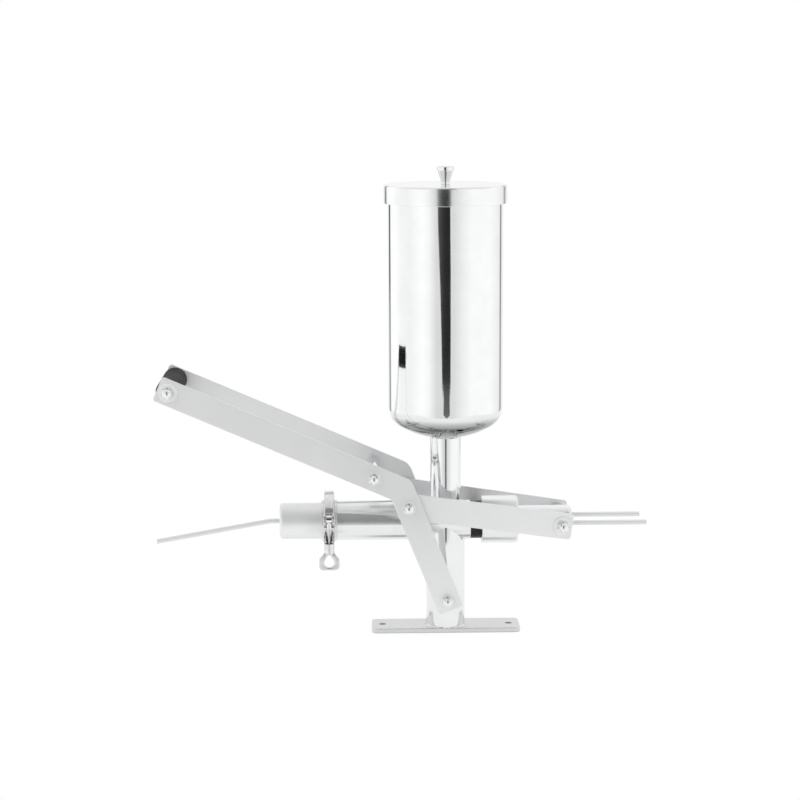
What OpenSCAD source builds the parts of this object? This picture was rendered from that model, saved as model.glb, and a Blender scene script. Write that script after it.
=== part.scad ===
// Lever-operated churro filler: hopper, horizontal pump, dog-leg lever, link pair and outlet nozzle.
// Frame: origin at the underside of the base plate on the column axis, +X towards the plunger rod,
// +Y to the rear, +Z up. All sizes are in millimetres.

/* [Base] */
// Length of the base plate along X
base_l = 194; // [180:1:240]
// Depth of the base plate along Y
base_w = 51; // [40:1:90]
// Thickness of the base plate
base_t = 6; // [4:0.5:12]
// Corner radius of the base plate
base_corner_r = 7; // [2:0.5:12]
// Distance between the two fixing holes
base_hole_gap = 166; // [120:1:168]
// Diameter of the fixing holes
base_hole_d = 9; // [5:0.5:11]

/* [Column] */
// Outside diameter of the column tube
column_d = 50.8; // [42:0.2:51.6]
// Wall thickness of the column tube
column_wall = 2; // [1.5:0.1:4]
// Size of the weld bead at the column foot
column_weld = 1.6; // [1:0.1:3]

/* [Pump cylinder] */
// Height of the pump axis above the underside of the base plate
pump_z = 146; // [130:1:170]
// Outside diameter of the pump cylinder
pump_d = 52; // [51.6:0.1:54]
// Wall thickness of the pump cylinder
pump_wall = 1.4; // [1:0.1:2]
// Distance from the column axis to the outlet end of the pump cylinder
pump_left = 142; // [110:1:180]
// Distance from the column axis to the plunger end of the pump cylinder
pump_right = 32; // [28:0.5:34]

/* [Neck and hopper] */
// Outside diameter of the neck tube
neck_d = 40; // [34:0.5:42]
// Wall thickness of the neck tube
neck_wall = 1.5; // [1:0.1:2.5]
// Height of the lowest point of the hopper bottom
hopper_z = 256; // [252:1:300]
// Outside diameter of the hopper
hopper_d = 148.6; // [132:0.2:160]
// Sheet thickness of the hopper
hopper_wall = 1.2; // [0.8:0.1:2]
// Height of the straight wall of the hopper above its dished bottom
hopper_straight = 282.5; // [150:0.5:320]
// Knuckle radius of the dished bottom
knuckle_r = 30; // [20:1:40]
// Depth of the dished bottom
dish_depth = 42; // [36:0.5:50]
// Radius of the rolled bead at the hopper rim
rim_bead_r = 2; // [1.5:0.1:2.5]

/* [Lid] */
// Sheet thickness of the lid
lid_wall = 1.2; // [0.8:0.1:2]
// Height of the lid with its skirt
lid_h = 24; // [15:0.5:40]
// Radius at the top edge of the lid
lid_edge_r = 3; // [2.2:0.1:5]
// Gap between the rim bead and the lid skirt
lid_gap = 1; // [0.6:0.1:3]
// Height of the knob
knob_h = 23; // [18:0.5:32]
// Diameter of the knob crown
knob_d = 21.4; // [16:0.2:30]
// Diameter of the knob foot
knob_foot_d = 11.4; // [10:0.2:14]
// Diameter of the knob screw
knob_screw_d = 5; // [4:0.5:6]

/* [Outlet] */
// Outer diameter of the ferrule flanges
ferrule_d = 64; // [62:0.5:70]
// Outer diameter of the ferrule necks
ferrule_neck_d = 54.4; // [54:0.1:57]
// Length of each ferrule
ferrule_l = 9; // [8:0.5:14]
// Thickness of the ferrule rim
ferrule_rim = 2; // [1.5:0.1:3]
// Thickness of the gasket between the ferrules
gasket_t = 2; // [1:0.1:3]
// Outside diameter of the outlet cap
cap_d = 47; // [40:0.5:50]
// Length of the outlet cap
cap_l = 54.7; // [30:0.1:80]
// Wall thickness of the outlet cap
cap_wall = 2; // [1.5:0.1:3]
// Edge radius of the outlet cap
cap_edge_r = 5; // [3:0.5:8]
// Outside diameter of the nozzle tube
nozzle_d = 6.4; // [5:0.1:9]
// Bore of the nozzle tube
nozzle_bore = 4.8; // [3:0.1:4.9]
// Length of the straight part of the nozzle outside the cap
nozzle_lead = 13; // [8:0.5:20]
// Length of the nozzle after its bend
nozzle_l = 151; // [80:1:160]
// Downward bend of the nozzle in degrees
nozzle_bend = 10; // [1:0.5:20]
// Radius of the nozzle bend on its centre line
nozzle_bend_r = 20; // [10:1:60]
// Bevel at the nozzle tip in degrees
nozzle_bevel = 18; // [0:1:40]

/* [Pipe clamp] */
// Outer radius of the clamp band
clamp_r = 39; // [38:0.5:42]
// Width of the clamp band
clamp_w = 13; // [12:0.5:16]
// Gap between the two clamp halves
clamp_split = 2; // [1:0.5:4]
// Width of the clamp ears
ear_w = 14.2; // [13:0.2:18]
// Width of the bolt slot in the ears
ear_slot = 8.6; // [7.6:0.2:9.4]
// Distance from the pump axis to the swing bolt
bolt_reach = 46; // [45:0.5:50]
// Height of the swing pin above the pump axis
swing_pin_up = 11.5; // [10:0.5:14]
// Distance from the swing pin to the top of the wing nut
pin_to_nut = 31.5; // [28:0.5:36]
// Diameter of the swing bolt
swing_bolt_d = 6; // [5:0.5:7]
// Diameter of the swing pin and of the hinge pin
clamp_pin_d = 5; // [4:0.5:5.5]
// Diameter of the wing nut body
nut_body_d = 13.5; // [11:0.5:16]
// Height of the wing nut body
nut_body_h = 13; // [10:0.5:18]
// Width of the wing nut loop
nut_loop_w = 26.4; // [22:0.2:32]
// Height of the wing nut loop
nut_loop_h = 22.4; // [20:0.2:30]
// Depth of the wing nut loop from front to rear
nut_loop_t = 8; // [5:0.5:12]

/* [Lever] */
// Height of the lever pivot above the underside of the base plate
pivot_z = 52; // [46:1:62]
// Distance between the middle planes of the two lever plates
lever_gap = 117; // [114:0.5:130]
// Thickness of the lever plates
lever_t = 3; // [2:0.5:4]
// Width of the lever plates
lever_w = 33; // [28:0.5:40]
// Length of the lever leg from the pivot to the bend
leg_l = 157.4; // [150:0.2:170]
// Distance from the lever pivot to the link bolt
crank_l = 132; // [126:0.5:136]
// Tilt of the lever leg from upright in degrees
leg_tilt = 22; // [20:0.5:24]
// Bend between the leg and the arm in degrees
lever_bend = 44.6; // [40:0.2:50]
// Length of the lever arm from the bend to the handle bolt
arm_l = 322; // [240:1:360]
// Distance from the bend to the spacer bolt
spacer_at = 38; // [34:0.5:60]
// Plate length beyond the end bolts
lever_end = 14; // [12:0.5:20]
// Corner radius of the lever ends
lever_corner_r = 4; // [2:0.5:8]
// Radius at the outside of the bend
bend_r = 22; // [10:0.5:30]
// Outside diameter of the spacer tube
spacer_d = 16; // [13:0.5:18]

/* [Handle] */
// Diameter of the grip
grip_d = 31.4; // [26:0.2:40]
// Outside diameter of the tube inside the grip
handle_tube_d = 12; // [11:0.5:16]
// End gap between the grip and each lever plate
grip_end_gap = 0.4; // [0.3:0.1:1]
// Edge radius of the grip
grip_edge_r = 2; // [1:0.5:4]

/* [Links] */
// Distance between the middle planes of the links at the lever
link_gap_lever = 103.6; // [103:0.2:104]
// Distance between the middle planes of the links at the crosshead
link_gap_head = 88; // [84:0.5:92]
// Thickness of the links
link_t = 3; // [2:0.1:3]
// Width of the links
link_w = 34; // [28:0.5:40]
// Link length beyond each hole
link_end = 12.5; // [11:0.5:16]
// Corner radius of the links
link_corner_r = 4; // [2:0.5:8]
// Radial clearance of the open pivot between link and link bolt
open_pivot_play = 3.5; // [3.3:0.1:4]

/* [Fasteners] */
// Diameter of the pivot bolts and studs
bolt_d = 8; // [6:0.5:9]
// Width across the flats of the nuts
nut_af = 13; // [11:0.5:15]
// Height of the hexagon of a dome nut
nut_hex_h = 6.5; // [5:0.5:8]
// Diameter of the washers
washer_d = 17; // [15:0.5:20]
// Diameter of the wide washers
wide_washer_d = 24; // [20:0.5:24]
// Thickness of the washers
washer_t = 1.8; // [1.2:0.1:2.5]

/* [Plunger] */
// Radial running clearance of the plunger in the pump cylinder
plunger_play = 0.1; // [0.05:0.01:0.1]
// Distance from the column axis to the front face of the plunger, towards the outlet
plunger_front = 26; // [22:0.5:40]
// Visible length of the plunger between the pump cylinder and the stop collar
plunger_show = 14.8; // [14:0.1:20]
// Diameter of the stop collar
collar_d = 62; // [54:0.5:68]
// Length of the stop collar
collar_l = 47; // [30:0.5:60]
// Diameter of the plunger rod
rod_d = 36; // [32:0.5:40]
// Wall thickness of the plunger rod
rod_wall = 2.5; // [1.5:0.1:4]
// Rod length beyond the crosshead axis
rod_tail = 14.7; // [13:0.1:24]
// Distance from the column axis to the crosshead axis
head_x = 149.5; // [140:0.5:165]
// Diameter of the plunger seal cord
seal_d = 3; // [2:0.1:4]
// Diameter of the passage through the plunger
passage_d = 8; // [5:0.5:12]

/* [Crosshead and twin tubes] */
// Diameter of the crosshead sleeve
sleeve_d = 24; // [20:0.5:26]
// Distance between the axes of the twin tubes
twin_gap = 50; // [48:0.5:56]
// Outside diameter of the twin tubes
twin_d = 6.6; // [5:0.1:8]
// Bore of the twin tubes
twin_bore = 5; // [3:0.1:5]
// Length of the near twin tube from the crosshead axis
twin_near_l = 111; // [60:0.5:140]
// Length of the far twin tube from the crosshead axis
twin_far_l = 108.5; // [60:0.5:140]

/* [Hidden] */

$fn = 96;

// Running clearance on the radius of a pin or shaft in its hole
pin_play = 0.05;
// Clearance between flat faces that slide on each other
face_play = 0.2;
// Overlap that keeps a cut from ending on a face
cut = 1;
// Gap between the rim bead and the underside of the lid
lid_seat_gap = 0.3;
// Broken edge of turned and cast parts
edge_cut = 1;

// Derived radii
bolt_r = bolt_d / 2;
hole_r = bolt_r + pin_play;
column_r = column_d / 2;
pump_r = pump_d / 2;
bore_r = pump_r - pump_wall;
neck_r = neck_d / 2;
port_r = neck_r - neck_wall;
hopper_r = hopper_d / 2;
sleeve_r = sleeve_d / 2;
rod_r = rod_d / 2;

// Dished bottom: crown radius from the knuckle radius, the depth and the hopper radius
knuckle_x = hopper_r - knuckle_r;
crown_r = (pow(knuckle_x, 2) + pow(dish_depth, 2) - pow(knuckle_r, 2)) / (2 * (dish_depth - knuckle_r));
crown_edge_x = knuckle_x * crown_r / (crown_r - knuckle_r);
crown_fn = 240;
dish_top_z = hopper_z + dish_depth;
rim_z = dish_top_z + hopper_straight;

// Lid seats on the rim bead
lid_under_z = rim_z + rim_bead_r + lid_seat_gap;
lid_top_z = lid_under_z + lid_wall;
bead_x = hopper_r - hopper_wall + rim_bead_r;
lid_r = bead_x + rim_bead_r + lid_gap + lid_wall;
knob_hole_l = 12.5;
screw_head_h = 2.6;
screw_head_r = knob_screw_d * 0.9;

// Outlet stations along X
pump_face_x = -(pump_left + ferrule_l);
cap_face_x = pump_face_x - gasket_t;
clamp_x = pump_face_x - gasket_t / 2;
cap_right_x = cap_face_x - ferrule_l;
cap_left_x = cap_right_x - cap_l;
nozzle_bend_x = cap_left_x - nozzle_lead;
ferrule_taper = tan(20);
cap_bore_r = cap_d / 2 - cap_wall;

// Clamp band and ears
groove_gap = 0.6;
groove_side_gap = 0.15;
groove_r = ferrule_d / 2 + groove_gap;
band_in_r = (ferrule_d + ferrule_neck_d) / 4;
groove_half = gasket_t / 2 + ferrule_rim + groove_side_gap;
split_half = clamp_split / 2;
ear_out = bolt_reach + swing_bolt_d;
ear_in = clamp_r - 5;
ear_half_h = 6.5;
seat_h = 20;
seat_low = 2;
swing_pin_z = pump_z + swing_pin_up;
nut_top_z = swing_pin_z - pin_to_nut;
hinge_knuckle_r = 5;
hinge_band_gap = 0.5;
clamp_hinge_y = clamp_r + hinge_knuckle_r + hinge_band_gap;
hinge_arm_low = split_half + 0.5;
hinge_cheek = 3.4;
hinge_side_gap = 0.2;
hinge_slot_half = clamp_w / 2 - hinge_cheek;
hinge_tongue_w = 2 * (hinge_slot_half - hinge_side_gap);
pin_stick_out = 1;
eye_wall = 2.6;
eye_r = clamp_pin_d / 2 + eye_wall;
eye_gap = 0.4;
clamp_pin_r = clamp_pin_d / 2;

// Wing nut and the end of its bolt
nut_swing_gap = 0.1;
bolt_end_in_nut = 2;
nut_body_end_z = nut_top_z - nut_body_h;
loop_half = nut_loop_w / 2;
loop_low_z = nut_body_end_z - nut_loop_h;
loop_corner = 4;
loop_shoulder = 8;
loop_foot = 3.6;
loop_hole_r = loop_half / 2;
loop_hole_z = loop_low_z + loop_foot + loop_hole_r;
loop_peak_half = 1.4;
loop_peak_z = nut_body_end_z - 2.6;

// Lever geometry in the XZ plane, measured from the lever pivot
pivot_pin = [0, pivot_z];
leg_dir = [-sin(leg_tilt), cos(leg_tilt)];
arm_rise = 90 - leg_tilt - lever_bend;
arm_dir = [-cos(arm_rise), sin(arm_rise)];
leg_side = [cos(leg_tilt), sin(leg_tilt)];
arm_side = [sin(arm_rise), cos(arm_rise)];
bend_at = leg_l * leg_dir;
bend_out = (leg_side + arm_side) / norm(leg_side + arm_side);
bend_corner = lever_w / 2 / cos(lever_bend / 2);
outer_corner = bend_at + bend_corner * bend_out;
inner_corner = bend_at - bend_corner * bend_out;
link_pin = pivot_pin + crank_l * leg_dir;
spacer_pin = pivot_pin + bend_at + spacer_at * arm_dir;
handle_pin = pivot_pin + bend_at + arm_l * arm_dir;
lever_y = lever_gap / 2;
lever_in_y = lever_y - lever_t / 2;
lever_out_y = lever_y + lever_t / 2;

// Links: the plates splay outwards from the crosshead to the lever
head_pin = [head_x, pump_z];
link_y_lever = link_gap_lever / 2;
link_y_head = link_gap_head / 2;
link_dy = link_y_lever - link_y_head;
link_run = norm([head_x - link_pin.x, link_dy]);
link_rise = link_pin.y - pump_z;
link_l = norm([link_run, link_rise]);
link_slope = atan2(link_rise, link_run);
link_splay = atan2(link_dy, head_x - link_pin.x);
splay_room = wide_washer_d / 2 * tan(link_splay) + link_t / 2 / cos(link_splay);

// Faces on both sides of each link, clear of its splayed plate
link_in_y_lever = link_y_lever - splay_room - face_play;
link_out_y_lever = link_y_lever + splay_room + face_play;
link_in_y_head = link_y_head - splay_room - face_play;
link_out_y_head = link_y_head + splay_room + face_play;

// Nuts and washers
dome_r = nut_af / 2 - 0.3;
dome_neck = 1.5;
dome_wall = 3;
stud_end_gap = 0.5;
nut_h = nut_hex_h + dome_neck + dome_r;
stud_in_nut = nut_h - dome_wall;
head_h = 5.3;
hex_to_corner = 1 / cos(30);
link_spacer_r = wide_washer_d / 2 - 2;
link_washer_r = wide_washer_d / 2 - 1;

// Plunger stations along X
plunger_r = bore_r - plunger_play;
collar_x = pump_right + plunger_show;
rod_end_x = head_x + rod_tail;
spigot_r = 10;
spigot_l = 40;
spigot_x = collar_x - spigot_l;
rod_plate = 6;
rod_end_plate = rod_wall + 1;
rod_edge_r = 4;
rod_bore_r = rod_r - rod_wall;
seal_r = seal_d / 2;
seal_play = 0.03;
seal_ring_r = bore_r - seal_play - seal_r;
seal_first = 7;
seal_step = 9;
twin_y = twin_gap / 2;
stud_depth = 11;
stud_foot_gap = 2;
tapped_y = link_in_y_head - stud_depth;

// ---------- shape helpers ----------

// Solid of revolution about an axis along +X that starts at x; the profile is (radius, distance along X)
module turned_x(x) {
    translate([x, 0, pump_z]) rotate([0, 90, 0]) rotate_extrude() children();
}

// Round bar along X
module bar_x(x0, x1, r, y = 0, z = pump_z) {
    translate([x0, y, z]) rotate([0, 90, 0]) cylinder(h = x1 - x0, r = r);
}

// Round bar along Y from y0 to y1 through the point (at.x, at.y) of the XZ plane
module bar_y(at, y0, y1, r) {
    translate([at.x, y1, at.y]) rotate([90, 0, 0]) cylinder(h = y1 - y0, r = r);
}

// Tube along Y
module tube_y(at, y0, y1, r, r_in) {
    difference() {
        bar_y(at, y0, y1, r);
        bar_y(at, y0 - cut, y1 + cut, r_in);
    }
}

// The same shape at the front and at the rear
module both_sides() {
    children();
    mirror([0, 1, 0]) children();
}

// Flat plate in the XZ plane with its middle plane at y
module plate_xz(y, t) {
    translate([0, y, 0]) rotate([90, 0, 0]) linear_extrude(height = t, center = true) children();
}

// Cutter that rounds one corner: point, the unit vectors along its two edges, radius
module corner_cut(p, u, v, r) {
    half = acos(u * v) / 2;
    mid = (u + v) / norm(u + v);
    centre = p + r / sin(half) * mid;
    reach = r / tan(half);
    difference() {
        polygon([centre, p + reach * u, p - 2 * mid, p + reach * v]);
        translate(centre) circle(r = r);
    }
}

// Washer pair: one ring on each side, from y outwards
module washers(at, y, d, t) {
    both_sides() tube_y(at, y, y + t, d / 2, hole_r);
}

// Dome nut with its seat at y, pointing to +Y
module dome_nut(at, y) {
    translate([at.x, y, at.y]) rotate([-90, 0, 0]) difference() {
        union() {
            cylinder(h = nut_hex_h, r = nut_af / 2 * hex_to_corner, $fn = 6);
            cylinder(h = nut_hex_h + dome_neck, r = dome_r);
            translate([0, 0, nut_hex_h + dome_neck]) sphere(r = dome_r);
        }
        translate([0, 0, -nut_af]) cylinder(h = nut_af, r = nut_af);
        translate([0, 0, -cut]) cylinder(h = cut + stud_in_nut + stud_end_gap, r = hole_r);
    }
}

// ---------- standing frame ----------

module base_outline() {
    x = base_l / 2;
    y = base_w / 2;
    difference() {
        square([base_l, base_w], center = true);
        for (sx = [-1, 1], sy = [-1, 1])
            corner_cut([sx * x, sy * y], [-sx, 0], [0, -sy], base_corner_r);
    }
}

module base_plate() {
    color("silver") difference() {
        linear_extrude(height = base_t) base_outline();
        for (sx = [-1, 1])
            translate([sx * base_hole_gap / 2, 0, -cut]) cylinder(h = base_t + 2 * cut, d = base_hole_d);
    }
}

module column() {
    color("gainsboro") difference() {
        translate([0, 0, base_t]) cylinder(h = pump_z - base_t, r = column_r);
        translate([0, 0, base_t - cut]) cylinder(h = pump_z, r = column_r - column_wall);
        bar_x(-column_d, column_d, pump_r);
        bar_y(pivot_pin, -column_d, column_d, spacer_d / 2);
    }
}

module column_weld_bead() {
    color("darkgray") intersection() {
        translate([0, 0, base_t]) rotate_extrude()
            polygon([[column_r, 0], [column_r + column_weld, 0], [column_r, column_weld]]);
        translate([-base_l / 2, -base_w / 2, 0]) cube([base_l, base_w, base_t + column_weld + cut]);
    }
}

module pump_cylinder() {
    color("gainsboro") difference() {
        bar_x(-pump_left, pump_right, pump_r);
        bar_x(-pump_left - cut, pump_right + cut, bore_r);
        translate([0, 0, pump_z]) cylinder(h = pump_d, r = port_r);
    }
}

// Outline of the hopper at a given distance inside its outer face
module hopper_profile(inset) {
    r = hopper_r - inset;
    translate([0, dish_top_z]) square([r, hopper_straight]);
    intersection() {
        translate([0, hopper_z + crown_r]) circle(r = crown_r - inset, $fn = crown_fn);
        translate([0, hopper_z]) square([crown_edge_x, dish_depth + cut]);
    }
    intersection() {
        translate([knuckle_x, dish_top_z]) circle(r = knuckle_r - inset);
        translate([crown_edge_x - cut, hopper_z]) square([hopper_r, dish_depth + cut]);
    }
}

module hopper() {
    color("whitesmoke") {
        difference() {
            rotate_extrude() difference() {
                union() {
                    hopper_profile(0);
                    translate([bead_x, rim_z]) circle(r = rim_bead_r, $fn = 48);
                }
                hopper_profile(hopper_wall);
                translate([0, dish_top_z])
                    square([hopper_r - hopper_wall, hopper_straight + rim_bead_r + cut]);
            }
            translate([0, 0, hopper_z - cut]) cylinder(h = dish_depth, r = port_r);
        }
    }
}

module neck_tube() {
    color("gainsboro") difference() {
        translate([0, 0, pump_z]) cylinder(h = hopper_z + dish_depth / 2 - pump_z, r = neck_r);
        translate([0, 0, pump_z - cut]) cylinder(h = hopper_z + dish_depth - pump_z, r = port_r);
        bar_x(-pump_d, pump_d, pump_r);
        rotate_extrude() hopper_profile(0);
    }
}

module neck_weld_bead() {
    size = 2;
    low_z = hopper_z - 2.5;
    high_z = hopper_z + 6;
    color("darkgray") difference() {
        rotate_extrude() polygon([
            [neck_r, low_z], [neck_r, high_z], [neck_r + size, high_z], [neck_r + size, hopper_z + 1]
        ]);
        rotate_extrude() hopper_profile(0);
    }
}

module pivot_tube() {
    color("silver")
        tube_y(pivot_pin, -lever_in_y + face_play, lever_in_y - face_play, spacer_d / 2, hole_r);
}

module pivot_bolt() {
    reach = lever_out_y + face_play + washer_t + stud_in_nut;
    color("silver") bar_y(pivot_pin, -reach, reach, bolt_r);
}

module pivot_washers() {
    color("silver") washers(pivot_pin, lever_out_y + face_play, washer_d, washer_t);
}

module pivot_nuts() {
    color("gainsboro") both_sides() dome_nut(pivot_pin, lever_out_y + face_play + washer_t);
}

// ---------- lid ----------

// Outline of the lid at a given distance inside its outer face
module lid_profile(inset) {
    r = lid_r - inset;
    top = lid_top_z - inset;
    edge = lid_edge_r - inset;
    translate([0, lid_top_z - lid_h]) square([r, lid_h - lid_edge_r]);
    translate([0, top - edge - cut]) square([r - edge, edge + cut]);
    translate([r - edge, top - edge]) circle(r = edge);
}

module lid() {
    color("whitesmoke") difference() {
        rotate_extrude() intersection() {
            difference() {
                lid_profile(0);
                lid_profile(lid_wall);
                translate([0, lid_top_z - lid_h - cut]) square([lid_r - lid_wall, lid_h / 2]);
            }
            translate([0, lid_top_z - lid_h]) square([lid_r + cut, lid_h]);
        }
        translate([0, 0, lid_under_z - cut])
            cylinder(h = lid_wall + 2 * cut, r = knob_screw_d / 2 + pin_play);
    }
}

module lid_knob() {
    foot_r = knob_foot_d / 2;
    waist_r = foot_r - 0.4;
    waist_z = 2;
    crown_r = knob_d / 2;
    crown_z = knob_h - 6.3;
    lip = 0.9;
    lip_h = 0.6;
    chamfer = 1.5;
    color("gainsboro") translate([0, 0, lid_top_z]) difference() {
        rotate_extrude() polygon([
            [0, 0], [foot_r, 0], [waist_r, waist_z], [crown_r - lip, crown_z], [crown_r, crown_z + lip_h],
            [crown_r, knob_h - chamfer], [crown_r - chamfer, knob_h], [0, knob_h]
        ]);
        translate([0, 0, -cut]) cylinder(h = knob_hole_l + cut, r = knob_screw_d / 2 + pin_play);
    }
}

module knob_screw() {
    shank_l = lid_wall + knob_hole_l - 0.5;
    color("silver") union() {
        translate([0, 0, lid_under_z - screw_head_h]) cylinder(h = screw_head_h, r = screw_head_r);
        translate([0, 0, lid_under_z - cut]) cylinder(h = shank_l + cut, r = knob_screw_d / 2);
    }
}

// ---------- outlet ----------

// Ferrule profile: sealing face at 0, tube end at ferrule_l
module ferrule_profile(in_r) {
    r = ferrule_d / 2;
    tube_r = ferrule_neck_d / 2;
    polygon([
        [in_r, 0], [r, 0], [r, ferrule_rim], [tube_r, ferrule_rim + (r - tube_r) * ferrule_taper],
        [tube_r, ferrule_l], [in_r, ferrule_l]
    ]);
}

module pump_ferrule() {
    color("silver") turned_x(pump_face_x) ferrule_profile(bore_r);
}

module gasket() {
    color("white") turned_x(cap_face_x) translate([bore_r, 0]) square([ferrule_d / 2 - bore_r, gasket_t]);
}

module cap_ferrule() {
    color("silver") turned_x(cap_face_x) mirror([0, 1]) ferrule_profile(cap_bore_r);
}

module outlet_cap() {
    r = cap_d / 2;
    in_edge = cap_edge_r - cap_wall;
    color("gainsboro") difference() {
        turned_x(cap_left_x) {
            translate([0, cap_edge_r]) square([r, cap_l - cap_edge_r]);
            square([r - cap_edge_r, cap_edge_r + cut]);
            translate([r - cap_edge_r, cap_edge_r]) circle(r = cap_edge_r);
        }
        turned_x(cap_left_x + cap_wall) {
            translate([0, in_edge]) square([cap_bore_r, cap_l]);
            square([cap_bore_r - in_edge, in_edge + cut]);
            translate([cap_bore_r - in_edge, in_edge]) circle(r = in_edge);
        }
        bar_x(cap_left_x - cut, cap_left_x + cap_wall + cut, nozzle_d / 2);
    }
}

module nozzle_ring() {
    difference() {
        circle(d = nozzle_d);
        circle(d = nozzle_bore);
    }
}

module nozzle() {
    setback = nozzle_bend_r * tan(nozzle_bend / 2);
    arc_x = nozzle_bend_x + setback;
    color("silver") {
        translate([arc_x, 0, pump_z]) rotate([0, 90, 0])
            linear_extrude(height = cap_left_x + cap_wall - arc_x) nozzle_ring();
        translate([arc_x, 0, pump_z - nozzle_bend_r]) rotate([90, 0, 0]) rotate([0, 0, 90])
            rotate_extrude(angle = nozzle_bend) translate([nozzle_bend_r, 0]) nozzle_ring();
        translate([nozzle_bend_x, 0, pump_z]) rotate([0, -90 - nozzle_bend, 0]) difference() {
            translate([0, 0, setback]) linear_extrude(height = nozzle_l - setback) nozzle_ring();
            translate([nozzle_d / 2, 0, nozzle_l]) rotate([0, nozzle_bevel, 0])
                translate([-3 * nozzle_d, -nozzle_d, 0]) cube([4 * nozzle_d, 2 * nozzle_d, 2 * nozzle_d]);
        }
    }
}

// ---------- pipe clamp ----------

module clamp_band() {
    half = clamp_w / 2;
    in_half = groove_half + (groove_r - band_in_r) * ferrule_taper;
    turned_x(clamp_x) polygon([
        [band_in_r, half], [clamp_r - edge_cut, half], [clamp_r, half - edge_cut],
        [clamp_r, edge_cut - half], [clamp_r - edge_cut, -half], [band_in_r, -half],
        [band_in_r, -in_half], [groove_r, -groove_half], [groove_r, groove_half], [band_in_r, in_half]
    ]);
}

// Box with its X centre on the clamp, from the pump axis: y0 to y1 and z0 to z1
module clamp_box(w, y0, y1, z0, z1) {
    translate([clamp_x - w / 2, y0, pump_z + z0]) cube([w, y1 - y0, z1 - z0]);
}

// Slot for the swing bolt, open to the front
module bolt_slot() {
    clamp_box(ear_slot, -ear_out - cut, eye_r + eye_gap - bolt_reach, -clamp_r, clamp_r);
}

// Round bar along X through the clamp
module clamp_bar(y, z, w, r) {
    bar_x(clamp_x - w / 2, clamp_x + w / 2, r, y, z);
}

module clamp_upper() {
    color("gainsboro") difference() {
        union() {
            intersection() {
                clamp_band();
                clamp_box(2 * clamp_w, -clamp_r - cut, clamp_r + cut, split_half, clamp_r + cut);
            }
            clamp_box(ear_w, -ear_out, -ear_in, swing_pin_up - ear_half_h, swing_pin_up + ear_half_h);
            clamp_box(hinge_tongue_w, ear_in, clamp_hinge_y, hinge_arm_low, hinge_knuckle_r);
            clamp_bar(clamp_hinge_y, pump_z, hinge_tongue_w, hinge_knuckle_r);
        }
        bolt_slot();
        clamp_bar(-bolt_reach, swing_pin_z, 2 * ear_w, clamp_pin_r);
        clamp_bar(clamp_hinge_y, pump_z, 2 * ear_w, clamp_pin_r + pin_play);
    }
}

module clamp_lower() {
    seat_z = swing_pin_up - seat_h;
    color("gainsboro") difference() {
        union() {
            intersection() {
                clamp_band();
                clamp_box(2 * clamp_w, -clamp_r - cut, clamp_r + cut, -clamp_r - cut, -split_half);
            }
            intersection() {
                clamp_box(ear_w, -ear_out, -ear_in, swing_pin_up - pin_to_nut - seat_low, seat_z);
                clamp_bar(-bolt_reach, swing_pin_z, ear_w, pin_to_nut - face_play - nut_swing_gap);
            }
            difference() {
                union() {
                    clamp_box(clamp_w, ear_in, clamp_hinge_y, -hinge_knuckle_r, -hinge_arm_low);
                    clamp_bar(clamp_hinge_y, pump_z, clamp_w, hinge_knuckle_r);
                }
                clamp_box(
                    2 * hinge_slot_half, clamp_r + hinge_side_gap, clamp_hinge_y + 2 * hinge_knuckle_r,
                    -2 * hinge_knuckle_r, 2 * hinge_knuckle_r
                );
            }
        }
        bolt_slot();
        clamp_bar(clamp_hinge_y, pump_z, 2 * ear_w, clamp_pin_r);
    }
}

module clamp_hinge_pin() {
    color("silver") clamp_bar(clamp_hinge_y, pump_z, clamp_w + pin_stick_out, clamp_pin_r);
}

module swing_pin() {
    color("silver") clamp_bar(-bolt_reach, swing_pin_z, ear_w + pin_stick_out, clamp_pin_r);
}

module swing_bolt() {
    eye_w = ear_slot - 2 * eye_gap;
    tip_z = nut_body_end_z + bolt_end_in_nut;
    color("silver") difference() {
        union() {
            clamp_bar(-bolt_reach, swing_pin_z, eye_w, eye_r);
            translate([clamp_x, -bolt_reach, tip_z]) cylinder(h = swing_pin_z - tip_z, d = swing_bolt_d);
        }
        clamp_bar(-bolt_reach, swing_pin_z, 2 * ear_w, clamp_pin_r + pin_play);
    }
}

// Wing nut loop outline in the XZ plane, about the bolt axis
module loop_outline() {
    r = loop_corner;
    shoulder_z = nut_body_end_z - loop_shoulder;
    top_half = nut_body_d / 2 - 0.5;
    top_z = nut_body_end_z + cut;
    flank_half = loop_hole_r - 0.5;
    flank_z = loop_hole_z + 1;
    difference() {
        union() {
            translate([-loop_half, loop_low_z + r]) square([nut_loop_w, shoulder_z - loop_low_z - r]);
            translate([r - loop_half, loop_low_z]) square([nut_loop_w - 2 * r, r + cut]);
            for (s = [-1, 1])
                translate([s * (loop_half - r), loop_low_z + r]) circle(r = r);
            polygon([
                [-loop_half, shoulder_z], [loop_half, shoulder_z], [top_half, top_z], [-top_half, top_z]
            ]);
        }
        translate([0, loop_hole_z]) circle(r = loop_hole_r);
        polygon([
            [-flank_half, flank_z], [flank_half, flank_z],
            [loop_peak_half, loop_peak_z], [-loop_peak_half, loop_peak_z]
        ]);
    }
}

module wing_nut() {
    color("silver") translate([clamp_x, -bolt_reach, 0]) difference() {
        union() {
            translate([0, 0, nut_body_end_z]) cylinder(h = nut_body_h, d = nut_body_d);
            plate_xz(0, nut_loop_t) loop_outline();
        }
        translate([0, 0, nut_body_end_z - cut])
            cylinder(h = nut_body_h + 2 * cut, r = swing_bolt_d / 2 + pin_play);
    }
}

// ---------- lever ----------

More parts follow.
